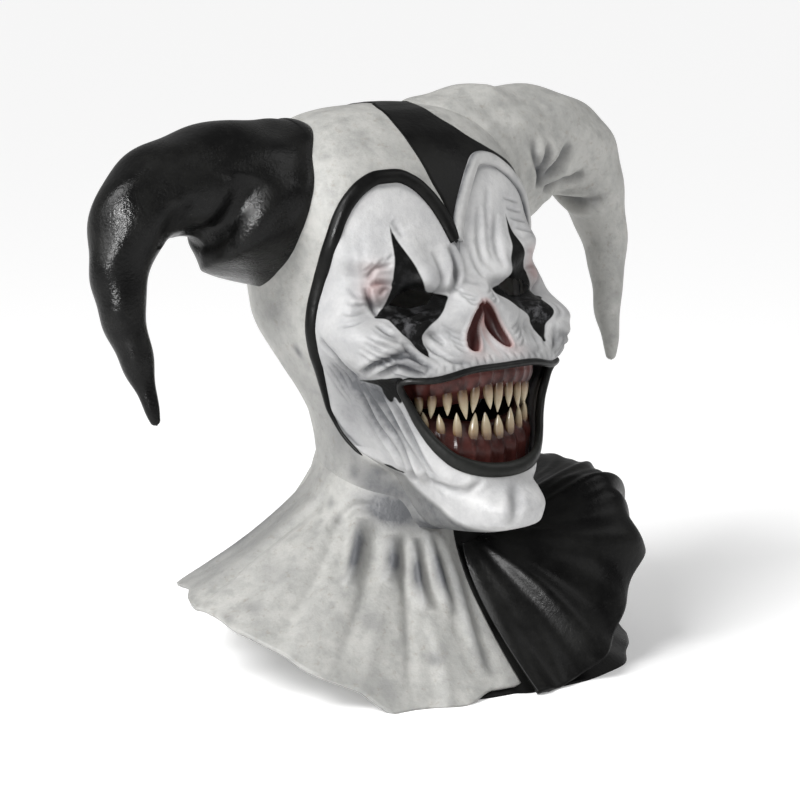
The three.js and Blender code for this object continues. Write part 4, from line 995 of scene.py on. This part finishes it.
# Profile of each gum from behind the lip, over the ridge and back into the throat: inset, z
GUM_PROFILE = {
    "upper": [
        (-9, 243), (-3, 238), (-0.5, 231), (-0.5, 226), (1.5, 220), (5, 215), (8, 210), (11, 208), (16, 211),
        (26, 217), (46, 204),
    ],
    "lower": [
        (-9, 152), (-3, 157), (-0.5, 164), (-0.5, 174), (1.5, 181), (5, 187), (8, 191), (11, 192.5), (16, 190),
        (26, 184), (46, 206),
    ],
}
GUM_COLUMNS, GUM_END, GUM_BEHIND_SKIN = 300, 100, 7
# Lump over each tooth root: height and width; inset where the throat's painted shade starts, and how far it deepens
LUMP, LUMP_WIDE, THROAT_FROM, THROAT_FADE = 1.5, 2.4, 9, 9
# How dark each gum is made, and the painted shade round each tooth root
GUM_DARK = {"upper": (0.12, 1.2), "lower": (0.55, 0.7)}


def arch(angle, inset):
    """A place on the dental arch seen from above, moved inwards."""
    across, along = np.sin(np.radians(angle)), np.cos(np.radians(angle))
    reach = (np.abs(across) ** ARCH_SQUARE + np.abs(along) ** ARCH_SQUARE) ** (-1 / ARCH_SQUARE)
    x = (ARCH_HALF - inset) * across * reach
    return np.stack([x, -(ARCH_MIDDLE + (ARCH_DEPTH - inset) * along * reach)], -1)


# Red-brown gums; their dark round the roots and deeper into the mouth is painted shade
gum_red = plain_material(
    "gum_red", (0.045, 0.01, 0.008), [
        ("broad", 0.35, 0.65, 0, 1, (0.125, 0.036, 0.03)), ("fine", 0.55, 0.7, 0, 0.45, (0.17, 0.065, 0.055)),
        ("socket", 0, 1, 0, 0.85, (0.02, 0.005, 0.004)), ("throat", 0, 0.4, 0, 1, (0.016, 0.005, 0.004)),
        ("throat", 0.4, 1, 0, 1, (0.003, 0.002, 0.002)),
    ], (0.28, 0.28), 0.22, (0.4, 0.001), 60, 260,
)
for name, count, reach, longest, root_z, ends in JAWS:
    profile = smooth_line(GUM_PROFILE[name], 9)[::1 if name == "lower" else -1]
    angle, inset = np.meshgrid(np.linspace(-GUM_END, GUM_END, GUM_COLUMNS + 1), profile[:, 0])
    drop = ends * np.sin(np.radians(np.clip(angle, -90, 90))) ** 2
    z = profile[:, 1:] + drop * np.clip(1 - inset / 46, 0, 1)
    roots = reach * (2 * np.arange(count) / (count - 1) - 1)
    nearest = np.min(np.abs(angle[..., None] - roots), axis=-1)
    lump = LUMP * bell(nearest, LUMP_WIDE) * bell(inset - 0.5, 5)
    points = np.concatenate([arch(angle, inset - lump), z[..., None]], -1)
    around, far, off = about_middle(points)
    room = np.minimum((reach_at(around, z) - GUM_BEHIND_SKIN) / far, 1)
    gum = grid_piece("gums_" + name, points - off * (1 - room)[..., None])
    near_root = bell(nearest, 3) * bell(z - root_z - drop, 4)
    dark, dark_root = GUM_DARK[name]
    # Each gum's own darkness, with painted shade round each tooth root and deeper into the mouth
    socket = dark + dark_root * near_root + 0.5 * np.clip((inset - 2) / 6, 0, 1)
    # Throat painted darker and darker to black further into the mouth: painted shade
    paint(gum, throat=np.clip((inset - THROAT_FROM) / THROAT_FADE, 0, 1), socket=socket)
    settle(gum, gum_red, "gum_red", "gum_" + name)

# Teeth: separate cast ivory fangs, brown at the root, each set into its own lump of gum and leaning a little its
# own way.
TOOTH_RADIUS, TOOTH_DEPTH, TOOTH_SIDES, TOOTH_INSET = 3.8, 0.85, 17, 3.2
# How much shorter and thinner the last teeth are, and the chance in length, thickness and lean
SHORTER, THINNER = 0.45, 0.2
LENGTHS, WIDTHS, LEANS_OUT, LEANS_ASIDE = (0.88, 1.1), (0.9, 1.05), (-0.05, 0.12), (-0.14, 0.14)
# Thickness along a tooth from its root to its tip: share of the length, share of the radius
TOOTH_PROFILE = np.array([
    (-0.16, 0.0), (-0.16, 0.75), (0, 0.92), (0.18, 1.0), (0.42, 0.96), (0.62, 0.78), (0.8, 0.5), (0.92, 0.25),
    (0.98, 0.1), (1, 0.0),
])
tooth_ivory = plain_material(
    "ivory", (0.17, 0.088, 0.032), [
        ("along", 0.1, 0.75, 0, 1, (0.48, 0.41, 0.28)), ("along", 0.3, 0.0, 0, 0.95, (0.035, 0.01, 0.006)),
        ("fine", 0.5, 0.7, 0, 0.4, (0.3, 0.17, 0.07)),
    ], (0.25, 0.25), 0.5, (0.2, 0.0006), 60, 300,
)
chance = np.random.default_rng(7)
shape = smooth_line(TOOTH_PROFILE, 3)
for name, count, reach, longest, root_z, ends in JAWS:
    way = 1 if name == "lower" else -1
    for i in range(count):
        angle = reach * (2 * i / (count - 1) - 1)
        side = abs(angle) / reach
        place = np.r_[arch(angle, TOOTH_INSET), root_z + ends * np.sin(np.radians(angle)) ** 2]
        size = longest * (1 - SHORTER * side**2) * chance.uniform(*LENGTHS)
        thick = TOOTH_RADIUS * (1 - THINNER * side) * chance.uniform(*WIDTHS)
        out = unit(arch(angle, 0) - arch(angle, 1))
        lean_out, lean_side = chance.uniform(*LEANS_OUT), chance.uniform(*LEANS_ASIDE)
        turn, along = np.meshgrid(np.linspace(0, 2 * np.pi, TOOTH_SIDES), shape[:, 0])
        wide = np.maximum(shape[:, 1], 0)[:, None] * thick
        sway = size * np.clip(along, 0, 1) ** 1.5
        forward = TOOTH_DEPTH * wide * np.sin(turn) + lean_out * sway
        sideways = wide * np.cos(turn) + lean_side * sway
        plane = forward[..., None] * out + sideways[..., None] * np.array([-out[1], out[0]])
        points = np.concatenate([place[:2] + plane, (place[2] + way * along * size)[..., None]], -1)
        tooth = grid_piece(f"fang_{name}_{i + 1:02d}", points)
        paint(tooth, along=along)
        edit(tooth, weld)
        settle(tooth, tooth_ivory, "ivory", f"tooth_{name}_{i + 1:02d}")

# Stage: a pale floor, a large soft light from the viewer's upper left and a weaker one from the right, and the
# photo's camera.
bpy.ops.object.select_all(action="DESELECT")
bpy.ops.mesh.primitive_plane_add(size=90)
floor = bpy.context.object
floor.name = "floor"
material, tree, shader, _ = fresh("floor_paper")
fill(tree, shader, {
    "Base Color": (0.97, 0.97, 0.97, 1), "Roughness": 0.8, "Emission Color": (1, 1, 1, 1), "Emission Strength": 0.2,
})
floor.data.materials.append(material)
floor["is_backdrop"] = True
world = bpy.data.worlds.new("studio")
world.use_nodes = True
fill(world.node_tree, world.node_tree.nodes["Background"], {"Color": (1, 1, 1, 1), "Strength": 0.3})
scene = bpy.context.scene
scene.world = world
scene.view_settings.view_transform = "Standard"
AZIMUTH, ELEVATION, DISTANCE, LENS = np.radians(-38), np.radians(11), 2000, 124.2
AIM_RIGHT, AIM_UP = -2.54, 189.1
right = np.array([np.cos(AZIMUTH), np.sin(AZIMUTH), 0])
back = np.array([np.sin(AZIMUTH) * np.cos(ELEVATION), -np.cos(AZIMUTH) * np.cos(ELEVATION), np.sin(ELEVATION)])
up = np.cross(back, right)
aim = right * AIM_RIGHT + up * AIM_UP
bpy.ops.object.camera_add(location=placed(aim + back * DISTANCE))
camera = bpy.context.object
camera.rotation_euler = (np.pi / 2 - ELEVATION, 0, AZIMUTH)
camera.data.sensor_width = 36
camera.data.lens = LENS
scene.camera = camera
LAMP_SIZE = {"SUN": "angle", "AREA": "size", "SPOT": "shadow_soft_size"}
# Lights: kind, strength, size, and how far to the right of, above and in front of the mask
for kind, strength, wide, to_right, above, ahead in (
    ("SUN", 2.1, 0.45, -900, 1300, 900),
    ("AREA", 9, 0.7, -900, 700, 700),
    ("AREA", 4, 0.8, 1100, 900, 300),
    ("SPOT", 170, 0.09, -700, 500, 1700),
):
    bpy.ops.object.light_add(type=kind)
    lamp = bpy.context.object
    lamp.data.energy = strength
    setattr(lamp.data, LAMP_SIZE[kind], wide)
    lamp.visible_diffuse = kind != "SPOT"
    spot = aim + right * to_right + back * ahead
    spot[2] = aim[2] + above
    lamp.location = placed(spot)
    lamp.rotation_euler = Vector(placed(aim) - placed(spot)).to_track_quat("-Z", "Y").to_euler()

size = {"cad": [list(corner) for corner in cad_box], "visual": [list(corner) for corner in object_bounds()]}
